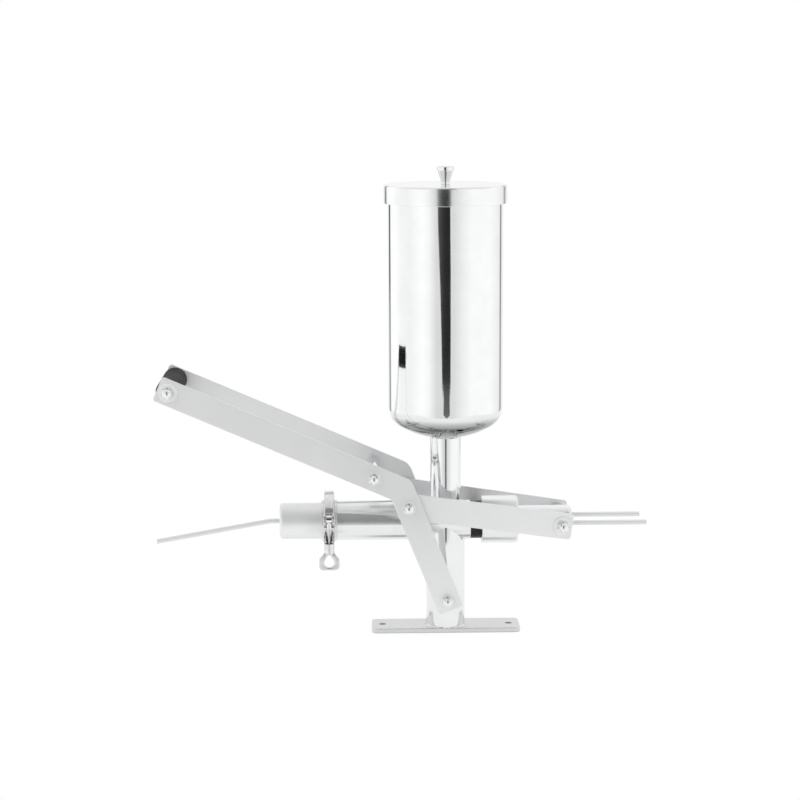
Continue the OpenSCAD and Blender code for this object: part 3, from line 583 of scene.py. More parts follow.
class Shape:
    """A mesh under construction, in millimetres in the row frame."""

    def __init__(self) -> None:
        """Starts with no faces."""
        self.bm = bmesh.new()

    def rings(self, rings: Sequence[Sequence[Point3]], loop: bool = True, around: bool = True,
              place: Matrix | None = None) -> "Shape":
        """Skins rows of points.

        Args:
            rings: rows of points of one length; a row of a single point closes the skin there.
            loop: whether the last row joins the first.
            around: whether each row is closed on itself.
            place: matrix for all the points.

        Returns:
            This shape.
        """
        place = place or Matrix.Identity(4)
        rows = [[self.bm.verts.new(place @ Vector(p)) for p in row] for row in rings]
        pairs = list(zip(rows, rows[1:])) + ([(rows[-1], rows[0])] if loop else [])
        for a, b in pairs:
            count = max(len(a), len(b))
            for k in range(count if around else count - 1):
                n = (k + 1) % count
                corners = [a[k % len(a)], a[n % len(a)], b[n % len(b)], b[k % len(b)]]
                unique = list(dict.fromkeys(corners))
                if len(unique) > 2:
                    self.bm.faces.new(unique)
        return self

    def turned(self, profile: Sequence[Point], place: Matrix, segments: int = 96,
               arc: Point | None = None) -> "Shape":
        """Turns a closed profile about the local Z axis.

        Args:
            profile: closed (radius, height) points; two points at radius 0 make a solid bar.
            place: matrix from the local frame to the row frame.
            segments: facets of a full turn.
            arc: first and last angle in degrees of a part turn, which gets end caps.

        Returns:
            This shape.
        """
        start, end = (math.radians(a) for a in arc) if arc else (0.0, 2 * math.pi)
        count = segments if not arc else max(6, round(segments * (end - start) / (2 * math.pi)))
        angles = [start + (end - start) * k / count for k in range(count + (1 if arc else 0))]
        on_axis = [r < 1e-6 for r, _ in profile]
        rows = []
        for (r, h), axis_point in zip(profile, on_axis):
            row = [(r * math.cos(a), r * math.sin(a), h) for a in angles]
            rows.append([(0.0, 0.0, h)] if axis_point else row)
        self.rings(rows, loop=not any(on_axis), around=arc is None, place=place)
        if arc:
            self.bm.verts.ensure_lookup_table()
            size = len(rows)
            across = len(angles)
            first = len(self.bm.verts) - size * across
            for column in (0, across - 1):
                self.bm.faces.new([self.bm.verts[first + row * across + column] for row in range(size)])
        return self

    def tube(self, outer: float, inner: float, low: Callable[[float, float], float],
             high: Callable[[float, float], float]) -> "Shape":
        """Adds an upright tube on the Z axis, with ends that follow other faces.

        Args:
            outer: outer radius.
            inner: inner radius.
            low: height of the lower end at a radius and a y.
            high: height of the upper end at a radius and a y.

        Returns:
            This shape.
        """
        corners = ((outer, low), (outer, high), (inner, high), (inner, low))
        return self.rings([[(x, y, end(radius, y)) for x, y in circle_outline((0.0, 0.0), radius, 128)]
                           for radius, end in corners])

    def weld(self, radius: float, height: float, steps: int, section: Callable[[float], Sequence[Point]],
             half: float = math.inf) -> "Shape":
        """Adds a weld bead round an upright tube on the Z axis.

        Args:
            radius: the tube's radius.
            height: height of the face that the tube meets.
            steps: sections of the bead.
            section: closed section, outwards and up from the joint, at an angle in radians.
            half: greatest distance from the XZ plane.

        Returns:
            This shape.
        """
        rows = []
        for k in range(steps):
            angle = 2 * math.pi * k / steps
            row = [((radius + u) * math.cos(angle), (radius + u) * math.sin(angle), height + v)
                   for u, v in section(angle)]
            rows.append([(x, max(-half, min(half, y)), z) for x, y, z in row])
        return self.rings(rows)

    def slab(self, outline: Sequence[Point], holes: Iterable[Sequence[Point]], thickness: float,
             place: Matrix, edge: float = 0.35, edge_steps: int = 1) -> "Shape":
        """Adds a flat plate with holes and broken edges.

        Args:
            outline: outer outline in the local XY plane.
            holes: inner outlines.
            thickness: full thickness, centred on the local XY plane.
            place: matrix from the local frame to the row frame.
            edge: size of the broken edge.
            edge_steps: smoothness of the broken edge.

        Returns:
            This shape.
        """
        curve = bpy.data.curves.new("slab", "CURVE")
        curve.dimensions = "2D"
        curve.fill_mode = "BOTH"
        for line in [outline, *holes]:
            spline = curve.splines.new("POLY")
            spline.points.add(len(line) - 1)
            for point, (x, y) in zip(spline.points, line):
                point.co = (x, y, 0.0, 1.0)
            spline.use_cyclic_u = True
        curve.extrude = thickness / 2 - edge
        curve.bevel_depth = edge
        curve.bevel_resolution = edge_steps
        curve.offset = -edge
        holder = bpy.data.objects.new("slab", curve)
        bpy.context.scene.collection.objects.link(holder)
        mesh = as_mesh(holder)
        mesh.transform(place)
        self.bm.from_mesh(mesh)
        bpy.data.objects.remove(holder)
        bpy.data.curves.remove(curve)
        bpy.data.meshes.remove(mesh)
        return self

    def swept(self, path: Sequence[Vector], section: Sequence[Point], side: Vector,
              tip_slant: float = 0.0) -> "Shape":
        """Sweeps a closed section along a path and caps its ends.

        Args:
            path: centre line points.
            section: closed outline across the path.
            side: direction that stays across the path, for the outline's first coordinate.
            tip_slant: slope of the last row against the section's second coordinate.

        Returns:
            This shape.
        """
        rows = []
        for i, here in enumerate(path):
            ahead = (path[min(i + 1, len(path) - 1)] - path[max(i - 1, 0)]).normalized()
            up = ahead.cross(side).normalized()
            across = up.cross(ahead).normalized()
            slant = tip_slant if i == len(path) - 1 else 0.0
            rows.append([here + across * u + up * v + ahead * slant * v for u, v in section])
        self.rings([[tuple(p) for p in row] for row in rows], loop=False)
        return self

    def nut(self, flats: float, height: float, bore: float, place: Matrix) -> "Shape":
        """Adds a hexagon with chamfered corners, from the local origin along +Z.

        Args:
            flats: width across flats.
            height: its height.
            bore: inner radius.
            place: matrix from the local frame to the row frame.

        Returns:
            This shape.
        """
        flat = flats / 2
        corner = flat / math.cos(math.radians(30))
        chamfer = corner - flat
        segments = 72
        angles = [2 * math.pi * (k + 0.5) / segments for k in range(segments)]

        def hexagon(angle: float, limit: float) -> float:
            """Radius of the hexagon at an angle, up to a limit."""
            local = (angle + math.pi / 6) % (math.pi / 3) - math.pi / 6
            return min(flat / math.cos(local), limit)

        half_side = [(0.0, flat - 0.1), (chamfer * 0.35, flat + chamfer * 0.6), (chamfer * 0.58, corner)]
        levels = half_side + [(height - h, limit) for h, limit in half_side[::-1]]
        rows = [[(hexagon(a, limit) * math.cos(a), hexagon(a, limit) * math.sin(a), h) for a in angles]
                for h, limit in levels]
        rows += [[(bore * math.cos(a), bore * math.sin(a), h) for a in angles] for h in (height, 0.0)]
        return self.rings(rows, place=place)

    def threaded(self, radius: float, pitch: float, low: float, high: float, place: Matrix) -> "Shape":
        """Adds a bar with a helical thread between two heights on the local Z axis.

        Args:
            radius: outer radius.
            pitch: pitch of the thread.
            low: lower end.
            high: upper end.
            place: matrix from the local frame to the row frame.

        Returns:
            This shape.
        """
        segments = 32
        per_turn = 6
        count = max(1, round((high - low) / pitch * per_turn))
        rows = [[(0.0, 0.0, low)]]
        for i in range(count + 1):
            h = low + (high - low) * i / count
            fade = min(1.0, i / per_turn, (count - i) / per_turn)
            row = []
            for k in range(segments):
                angle = 2 * math.pi * k / segments
                phase = (h / pitch - k / segments) % 1.0
                depth = 0.54 * pitch * (1 - abs(2 * phase - 1)) * fade + 0.06 * (1 - fade)
                row.append(((radius - depth) * math.cos(angle), (radius - depth) * math.sin(angle), h))
            rows.append(row)
        rows.append([(0.0, 0.0, high)])
        return self.rings(rows, loop=False, place=place)

    def mirrored(self) -> "Shape":
        """Adds the same faces again on the other side of the XZ plane.

        Returns:
            This shape.
        """
        twin = bpy.data.meshes.new("twin")
        self.bm.to_mesh(twin)
        twin.transform(MIRROR_Y)
        self.bm.from_mesh(twin)
        bpy.data.meshes.remove(twin)
        return self

    def finished(self, name: str, sharp: float = SHARP) -> bpy.types.Object:
        """Makes the object, in metres.

        Args:
            name: the piece's name.
            sharp: angle in degrees above which an edge looks sharp.

        Returns:
            The object.
        """
        bmesh.ops.remove_doubles(self.bm, verts=self.bm.verts, dist=0.0005)
        bmesh.ops.recalc_face_normals(self.bm, faces=self.bm.faces)
        mesh = bpy.data.meshes.new(name)
        self.bm.to_mesh(mesh)
        self.bm.free()
        mesh.transform(Matrix.Scale(MM, 4))
        mesh.polygons.foreach_set("use_smooth", [True] * len(mesh.polygons))
        mesh.set_sharp_from_angle(angle=math.radians(sharp))
        made = bpy.data.objects.new(name, mesh)
        bpy.context.scene.collection.objects.link(made)
        return made


def as_mesh(holder: bpy.types.Object) -> bpy.types.Mesh:
    """Makes a mesh of an object as its curve settings or modifiers shape it."""
    bpy.context.view_layer.update()
    return bpy.data.meshes.new_from_object(holder.evaluated_get(bpy.context.evaluated_depsgraph_get()))


def applied(piece: bpy.types.Object) -> bpy.types.Mesh:
    """Turns a piece's modifiers into its mesh.

    Args:
        piece: the piece.

    Returns:
        The new mesh.
    """
    mesh = as_mesh(piece)
    piece.modifiers.clear()
    old = piece.data
    piece.data = mesh
    bpy.data.meshes.remove(old)
    return mesh


def carve(piece: bpy.types.Object, cutter: bpy.types.Object) -> None:
    """Cuts a cutter out of a piece and removes the cutter.

    Args:
        piece: the piece to cut.
        cutter: the solid to take away.
    """
    modifier = piece.modifiers.new("cut", "BOOLEAN")
    modifier.operation = "DIFFERENCE"
    modifier.solver = "EXACT"
    modifier.object = cutter
    applied(piece).set_sharp_from_angle(angle=math.radians(SHARP))
    bpy.data.objects.remove(cutter)


def flatten_shading(piece: bpy.types.Object) -> None:
    """Lets large faces set the shading normals, so that narrow bevels don't bend the light on them.

    Args:
        piece: the piece.
    """
    modifier = piece.modifiers.new("flat_faces", "WEIGHTED_NORMAL")
    modifier.mode = "FACE_AREA"
    modifier.weight = 50
    modifier.keep_sharp = True
    applied(piece)


def settle(piece: bpy.types.Object, finish: Finish, body: Body, *nodes: str) -> None:
    """Dresses a piece, puts it on its body and lets it stand for its CAD nodes.

    Args:
        piece: the new object.
        finish: its finish.
        body: the body it moves with.
        nodes: the CAD nodes it replaces.
    """
    flatten_shading(piece)
    piece.data.materials.clear()
    piece.data.materials.append(finish.material())
    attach(piece, body.value)
    if nodes:
        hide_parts(*nodes)
    LOG.info("%s rides on %s for %s", piece.name, body.value, ", ".join(nodes) or "no node")


# ---------- shared sizes and finishes ----------


@dataclass(frozen=True)
class Layout:
    """Places that several sub-assemblies share, in millimetres."""

    pump_z: float = 146.0
    pump_r: float = 26.0
    bore_r: float = 24.6
    pump_left: float = 142.0
    pump_right: float = 32.0
    neck_r: float = 20.0
    port_r: float = 18.5
    hopper_z: float = 256.0
    pivot: Point = (0.0, 52.0)
    leg_tilt: float = 22.0
    lever_bend: float = 44.6
    leg_l: float = 157.4
    crank_l: float = 132.0
    arm_l: float = 322.0
    spacer_at: float = 38.0
    lever_y: float = 58.5
    lever_t: float = 3.0
    head_x: float = 149.5
    link_y_lever: float = 51.8
    link_y_head: float = 44.0
    link_t: float = 3.0
    bolt_r: float = 4.0
    bolt_play: float = 0.05
    nut_af: float = 13.0
    nut_hex_h: float = 6.5
    dome_neck: float = 1.5
    dome_step: float = 0.3
    dome_room: float = 3.0
    washer_t: float = 1.8
    washer_d: float = 17.0
    wide_washer_d: float = 24.0
    face_play: float = 0.2
    flange_slope: float = 20.0

    @property
    def leg_dir(self) -> Vector:
        """Direction of the lever leg, upwards."""
        a = math.radians(self.leg_tilt)
        return Vector((-math.sin(a), math.cos(a)))

    @property
    def arm_rise(self) -> float:
        """Slope of the lever arm in degrees."""
        return 90 - self.leg_tilt - self.lever_bend

    @property
    def arm_dir(self) -> Vector:
        """Direction of the lever arm, towards the handle."""
        a = math.radians(self.arm_rise)
        return Vector((-math.cos(a), math.sin(a)))

    @property
    def bend(self) -> Vector:
        """Where the middle lines of leg and arm meet."""
        return Vector(self.pivot) + self.leg_dir * self.leg_l

    @property
    def link_pin(self) -> Vector:
        """Bolt between lever and links."""
        return Vector(self.pivot) + self.leg_dir * self.crank_l

    @property
    def spacer_pin(self) -> Vector:
        """Bolt through the spacer tube."""
        return self.bend + self.arm_dir * self.spacer_at

    @property
    def handle_pin(self) -> Vector:
        """Bolt through the handle."""
        return self.bend + self.arm_dir * self.arm_l

    @property
    def lever_in(self) -> float:
        """Inner face of a lever plate."""
        return self.lever_y - self.lever_t / 2

    @property
    def lever_out(self) -> float:
        """Outer face of a lever plate."""
        return self.lever_y + self.lever_t / 2

    @property
    def bolt_bore(self) -> float:
        """Inner radius of what a bolt passes through."""
        return self.bolt_r + self.bolt_play

    @property
    def dome_r(self) -> float:
        """Radius of a nut's dome."""
        return self.nut_af / 2 - self.dome_step

    @property
    def nut_h(self) -> float:
        """Height of a dome nut."""
        return self.nut_hex_h + self.dome_neck + self.dome_r

    @property
    def bolt_past_seat(self) -> float:
        """Length of a bolt's end inside its dome nut."""
        return self.nut_h - self.dome_room

    @property
    def splay(self) -> float:
        """Angle of a link to the XZ plane in degrees."""
        return math.degrees(math.atan2(self.link_y_lever - self.link_y_head, self.head_x - self.link_pin.x))

    @property
    def splay_room(self) -> float:
        """Half the depth along Y that a splayed link takes under a wide washer."""
        a = math.radians(self.splay)
        return self.wide_washer_d / 2 * math.tan(a) + self.link_t / 2 / math.cos(a) + self.face_play

    def pump_skin(self, y: float) -> float:
        """Height of the pump cylinder's outer skin over its axis, at a distance from the XZ plane."""
        return math.sqrt(max(0.0, self.pump_r ** 2 - y ** 2))


def steel(level: float) -> Point3:
    """Colour of bare steel at a level of grey, a touch cooler than neutral."""
    return level, level + 0.005, level + 0.01


def even(value: float) -> Point3:
    """The same value three times: a neutral grey, or a grain without direction."""
    return value, value, value


@dataclass(frozen=True)
class Finishes:
    """All finishes of the part."""

    # The hopper's underside stops are painted shade that darkens its dish towards the bottom.
    hopper: Finish = PolishedSteel(
        "polished_hopper", Slot.POLISHED, steel(0.90), sheen=(0.03, 0.07), wave=0.00010,
        underside=((0.276, 0.3), (0.283, 0.58), (0.288, 0.92), (0.296, 1.0)))
    lid: Finish = PolishedSteel(
        "satin_lid", Slot.POLISHED, steel(0.90), lines=(4.0, 4.0, 1200.0), sheen=(0.13, 0.19), wave=0.00008)
    # The tube's wide, deep painted gap shade darkens the column under the pump cylinder.
    tube: Finish = PolishedSteel(
        "polished_tube", Slot.POLISHED, steel(0.88), lines=(3.0, 3.0, 700.0), painted_gap_shade=(0.03, 0.35))
    pump: Finish = PolishedSteel(
        "polished_pump", Slot.POLISHED, steel(0.88), lines=(1800.0, 3.0, 3.0), sheen=(0.20, 0.27),
        wave=0.00006, turned=Axis.X, brush=0.9)
    cap: Finish = PolishedSteel(
        "satin_cap", Slot.POLISHED, steel(0.94), lines=(1800.0, 3.0, 3.0), sheen=(0.48, 0.56),
        wave=0.00006, turned=Axis.X, brush=0.6)
    collar: Finish = PolishedSteel(
        "turned_collar", Slot.POLISHED, steel(0.89), lines=(2000.0, 3.0, 3.0), sheen=(0.28, 0.36),
        wave=0.00005, turned=Axis.X, brush=0.85)
    knob: Finish = PolishedSteel(
        "turned_knob", Slot.KNOB, steel(0.87), lines=(4.0, 4.0, 1500.0), sheen=(0.06, 0.14))
    arm: Finish = BrushedSteel("brushed_lever", Slot.BRUSHED, steel(0.89), turn=(0.0, -23.4, 0.0), metal=0.5)
    link: Finish = BrushedSteel("brushed_link", Slot.BRUSHED, steel(0.93), turn=(0.0, 8.2, 0.0), metal=0.5)
    base: Finish = BrushedSteel("brushed_base", Slot.BRUSHED, steel(0.72), dull=(0.26, 0.34))
    thin_tube: Finish = BrushedSteel(
        "satin_thin_tube", Slot.POLISHED, steel(0.82), grain=even(900.0), dull=(0.40, 0.48),
        depth=0.000001, metal=0.45)
    fastener: Finish = BrushedSteel(
        "bright_fastener", Slot.FASTENER, steel(0.87), grain=even(900.0), dull=(0.05, 0.11), depth=0.000001)
    # The washers' short painted gap shade darkens them where they meet plates and nuts.
    washer: Finish = BrushedSteel(
        "satin_washer", Slot.FASTENER, steel(0.96), grain=even(1600.0), dull=(0.38, 0.46),
        depth=0.000001, metal=0.35, painted_gap_shade=(0.002, 0.3))
    cast: Finish = CastSteel("cast_clamp", Slot.CAST, even(0.84))
    weld: Finish = WeldSteel("dressed_weld", Slot.WELD, even(0.85))
    grip: Finish = Rubber(
        "black_grip", Slot.GRIP, (0.004, 0.004, 0.0043), dull=(0.5, 0.66), depth=0.000008)
    plunger: Finish = Rubber(
        "black_plunger", Slot.PLUNGER, (0.02, 0.02, 0.021), dull=(0.26, 0.42), lines=(1400.0, 6.0, 6.0),
        depth=0.00001)
    seal: Finish = Rubber("seal_cord", Slot.SEAL, even(0.012))
    gasket: Finish = Rubber("white_gasket", Slot.GASKET, (0.8, 0.8, 0.78))


AT = Layout()
LOOK = Finishes()


# ---------- fasteners ----------


@dataclass
class Fasteners:
    """Washers, dome nuts and bolts in mirrored pairs across the XZ plane."""

    edge: float = 0.3
    dome_sunk: float = 1.0
    dome_wall: float = 2.5

    def washers(self, name: str, at: Vector, y: float, diameter: float, body: Body, thick: float,
                *nodes: str) -> None:
        """Adds a pair of washers.

        Args:
            name: the piece's name.
            at: bolt axis in the XZ plane.
            y: inner face of the rear washer.
            diameter: outer diameter.
            body: the body it moves with.
            thick: thickness.
            nodes: CAD nodes it replaces.
        """
        profile = chamfered_ring(AT.bolt_bore, diameter / 2, 0.0, thick, self.edge)
        shape = Shape().turned(profile, along(Axis.Y, (at.x, y, at.y)), 72).mirrored()
        settle(shape.finished(name), LOOK.washer, body, *nodes)

    def dome_nuts(self, name: str, at: Vector, y: float, body: Body, *nodes: str) -> None:
        """Adds a pair of dome nuts.

        Args:
            name: the piece's name.
            at: bolt axis in the XZ plane.
            y: seat of the rear nut.
            body: the body it moves with.
            nodes: CAD nodes it replaces.
        """
        place = along(Axis.Y, (at.x, y, at.y))
        bore, dome = AT.bolt_bore, AT.dome_r
        low, top = AT.nut_hex_h - self.dome_sunk, AT.nut_hex_h + AT.dome_neck
        roof = AT.nut_h - self.dome_wall
        profile = [(bore, low), (dome, low), (dome, top)]
        profile += arc_points((0.0, top), dome, 0, 90, 14)[1:-1]
        profile += [(0.0, top + dome), (0.0, roof), (bore, roof)]
        shape = Shape().nut(AT.nut_af, AT.nut_hex_h, bore, place).turned(profile, place, 72)
        settle(shape.mirrored().finished(name, 38), LOOK.fastener, body, *nodes)

    def bar(self, name: str, at: Vector, reach: float, body: Body, radius: float, bore: float,
            *nodes: str) -> None:
        """Adds a bar or tube along Y, centred on the XZ plane.

        Args:
            name: the piece's name.
            at: its axis in the XZ plane.
            reach: half its length.
            body: the body it moves with.
            radius: outer radius.
            bore: inner radius, 0 for a bar.
            nodes: CAD nodes it replaces.
        """
        if bore > 0:
            profile = chamfered_ring(bore, radius, -reach, reach, 0.4)
        else:
            profile = bar_profile(radius, -reach, reach, (0.5, 0.5), 3)
        shape = Shape().turned(profile, along(Axis.Y, (at.x, 0.0, at.y)), 72)
        settle(shape.finished(name), LOOK.fastener, body, *nodes)


# ---------- standing frame ----------


@dataclass
class Foot:
    """Base plate, column and the pivot bolt through it."""

    length: float = 194.0
    width: float = 51.0
    thick: float = 6.0
    corner: float = 7.0
    hole_gap: float = 166.0
    hole_r: float = 4.5
    column_r: float = 25.4
    column_wall: float = 2.0
    weld: float = 1.6
    pivot_tube_r: float = 8.0

    def plate(self) -> None:
        """Builds the base plate with its two fixing holes."""
        x, y = self.length / 2, self.width / 2
        outline = rounded([(-x, -y), (x, -y), (x, y), (-x, y)], [self.corner] * 4, 10)
        holes = [circle_outline((s * self.hole_gap / 2, 0.0), self.hole_r) for s in (-1, 1)]
        place = Matrix.Translation((0, 0, self.thick / 2))
        shape = Shape().slab(outline, holes, self.thick, place, 0.6, 2)
        settle(shape.finished("base_plate_steel"), LOOK.base, Body.FRAME, "base_plate")

    def column(self) -> None:
        """Builds the column tube, saddle-cut under the pump cylinder."""
        shape = Shape().tube(self.column_r, self.column_r - self.column_wall,
                             lambda _, y: self.thick, lambda _, y: AT.pump_z - AT.pump_skin(y))
        settle(shape.finished("column_tube"), LOOK.tube, Body.FRAME, "column")

    def bead_section(self, angle: float) -> list[Point]:
        """Section of the rippled bead round the column foot.

        Args:
            angle: angle round the column in radians.

        Returns:
            The closed section, outwards and up from the joint.
        """
        size = self.weld + 0.10 * math.sin(angle * 74) + 0.06 * math.sin(angle * 31 + 1.0)
        skin = [(size * u, size * v) for u, v in ((1, 0), (0.86, 0.30), (0.55, 0.62), (0.26, 0.88))]
        return [(-0.3, 0.0)] + skin + [(-0.3, size)]

    def beads(self) -> None:
        """Builds the weld bead round the column foot, dressed flush with the plate's long edges."""
        shape = Shape().weld(self.column_r, self.thick, 220, self.bead_section, self.width / 2)
        settle(shape.finished("column_bead", 50), LOOK.weld, Body.FRAME, "column_weld_bead")

    def pivot(self, parts: Fasteners) -> None:
        """Builds the pivot tube, bolt, washers and nuts.

        Args:
            parts: the fasteners.
        """
        at = Vector(AT.pivot)
        face = AT.lever_out + AT.face_play
        seat = face + AT.washer_t
        parts.bar("pivot_tube_steel", at, AT.lever_in - AT.face_play, Body.FRAME, self.pivot_tube_r,
                  AT.bolt_bore, "pivot_tube")
        parts.bar("pivot_bolt_steel", at, seat + AT.bolt_past_seat, Body.FRAME, AT.bolt_r, 0.0, "pivot_bolt")
        parts.washers("pivot_washer_pair", at, face, AT.washer_d, Body.FRAME, AT.washer_t, "pivot_washers")
        parts.dome_nuts("pivot_nut_pair", at, seat, Body.FRAME, "pivot_nuts")

    def build(self, parts: Fasteners) -> None:
        """Builds all of the foot.

        Args:
            parts: the fasteners.
        """
        self.plate()
        self.column()
        self.beads()
        self.pivot(parts)


@dataclass
class Hopper:
    """Hopper with its dished bottom, neck tube, and the pump cylinder under it."""

    radius: float = 74.3
    wall: float = 1.2
    straight: float = 282.5
    knuckle: float = 30.0
    depth: float = 42.0
    bead: float = 2.0
    bead_drop: float = 2.2
    weld: float = 1.7
    port_cut: float = 60.0

    @property
    def rim_z(self) -> float:
        """Height of the rim bead's centre."""
        return AT.hopper_z + self.depth + self.straight

    @property
    def knee(self) -> float:
        """Radius at which the centre of the dish's corner lies."""
        return self.radius - self.knuckle

    @property
    def crown(self) -> float:
        """Outer radius of the dish's middle."""
        rise = self.depth - self.knuckle
        return (self.knee ** 2 + self.depth ** 2 - self.knuckle ** 2) / (2 * rise)

    def dish(self, radius: float) -> float:
        """Height of the dish's underside at a radius."""
        return AT.hopper_z + self.crown - math.sqrt(self.crown ** 2 - radius ** 2)

    def skin(self, inset: float) -> list[Point]:
        """Bottom and wall line from the neck's bore to the rim.

        Args:
            inset: distance inside the outer face.

        Returns:
            (radius, height) points.
        """
        join = math.degrees(math.asin(self.knee / (self.crown - self.knuckle)))
        line = arc_points((0.0, AT.hopper_z + self.crown), self.crown - inset, -90, join - 90, 30)
        corner = (self.knee, AT.hopper_z + self.depth)
        line += arc_points(corner, self.knuckle - inset, join - 90, 0, 24)[1:]
        line = [p for p in line if p[0] > AT.port_r]
        return [(AT.port_r, line[0][1] - 0.05)] + line + [(self.radius - inset, self.rim_z)]

    def vessel(self) -> None:
        """Builds the hopper with its hole to the neck and its rolled rim."""
        outer, inner = self.skin(0.0), self.skin(self.wall)
        bead_x = self.radius - self.wall + self.bead
        rim = arc_points((bead_x, self.rim_z), self.bead, -115, 180, 20)
        under_rim = (self.radius, self.rim_z - self.bead_drop)
        profile = outer[:-1] + [under_rim] + rim + inner[::-1][1:]
        shape = Shape().turned(profile, Matrix.Identity(4), 256)
        settle(shape.finished("hopper_vessel", 40), LOOK.hopper, Body.FRAME, "hopper")

    def neck_bead_section(self, angle: float) -> list[Point]:
        """Section of the rippled bead under the dish.

        Args:
            angle: angle round the neck in radians.

        Returns:
            The closed section, outwards and up from the joint.
        """
        size = self.weld + 0.08 * math.sin(angle * 56)
        return [(-0.4, 0.3), (-0.4, -size), (0.25, -size * 0.8), (0.8 * size, -0.25), (size, 0.45)]

    def neck(self) -> None:
        """Builds the neck tube from the pump saddle to the dished bottom, and its weld bead."""
        shape = Shape().tube(AT.neck_r, AT.port_r, lambda _, y: AT.pump_z + AT.pump_skin(y),
                             lambda radius, _: self.dish(radius))
        settle(shape.finished("neck_tube_steel"), LOOK.tube, Body.FRAME, "neck_tube")
        shape = Shape().weld(AT.neck_r, self.dish(AT.neck_r + 1), 180, self.neck_bead_section)
        settle(shape.finished("neck_bead", 60), LOOK.weld, Body.FRAME, "neck_weld_bead")

    def pump(self) -> None:
        """Builds the pump cylinder with its port under the neck."""
        profile = chamfered_ring(AT.bore_r, AT.pump_r, -AT.pump_left, AT.pump_right, 0.35)
        tube = Shape().turned(profile, along(Axis.X, (0, 0, AT.pump_z)), 192).finished("pump_tube")
        hole = [(0.0, 0.0), (AT.port_r, 0.0), (AT.port_r, self.port_cut), (0.0, self.port_cut)]
        cutter = Shape().turned(hole, along(Axis.Z, (0, 0, AT.pump_z)), 96).finished("port_cutter")
        carve(tube, cutter)
        settle(tube, LOOK.pump, Body.FRAME, "pump_cylinder")

    def build(self) -> None:
        """Builds all of the hopper and pump."""
        self.vessel()
        self.neck()
        self.pump()


@dataclass
class Lid:
    """Lid with its turned knob."""

    radius: float = 79.3
    wall: float = 1.2
    height: float = 24.0
    top: float = 584.0
    edge: float = 3.0
    knob_h: float = 23.0
    knob_r: float = 10.7
    foot_r: float = 5.7
    screw_r: float = 4.5
    screw_h: float = 2.6

    def cover(self) -> None:
        """Builds the pressed lid with a rolled-in skirt edge."""
        low = self.top - self.height
        outer = [(0.0, self.top)] + rounded([(0.0, self.top), (self.radius, self.top), (self.radius, low)],
                                            [0, self.edge, 0], 10)[1:]
        r_in, top_in = self.radius - self.wall, self.top - self.wall
        inner = rounded([(r_in, low), (r_in, top_in), (0.0, top_in)], [0, self.edge - self.wall, 0], 8)
        hem = arc_points((self.radius - self.wall / 2, low + self.wall / 2), self.wall / 2, 0, -180, 6)
        shape = Shape().turned(outer[:-1] + hem + inner[1:], Matrix.Identity(4), 256)
        settle(shape.finished("lid_cover", 40), LOOK.lid, Body.LID, "lid")

    def knob(self) -> None:
        """Builds the knob: a waisted cone under a short crown."""
        crown_z = self.knob_h - 6.3
        line = [(0.0, 0.0), (self.foot_r, 0.0), (self.foot_r - 0.2, 1.6), (self.foot_r, 3.2),
                (self.knob_r - 1.0, crown_z - 0.2), (self.knob_r, crown_z + 0.7),
                (self.knob_r, self.knob_h - 1.2), (self.knob_r - 1.3, self.knob_h), (0.0, self.knob_h)]
        profile = rounded(line, [0, 0.3, 0.6, 2.0, 0.4, 0.5, 0.8, 0.6, 0], 4)
        shape = Shape().turned(profile, Matrix.Translation((0, 0, self.top)), 96)
        settle(shape.finished("knob_turned", 40), LOOK.knob, Body.LID, "lid_knob")
        under = self.top - self.wall
        head = bar_profile(self.screw_r, under - self.screw_h, under, (0.9, 0.2), 3)
        shape = Shape().turned(head, Matrix.Identity(4), 48)
        settle(shape.finished("knob_screw_head"), LOOK.fastener, Body.LID, "knob_screw")

    def build(self) -> None:
        """Builds all of the lid."""
        self.cover()
        self.knob()


# ---------- outlet ----------


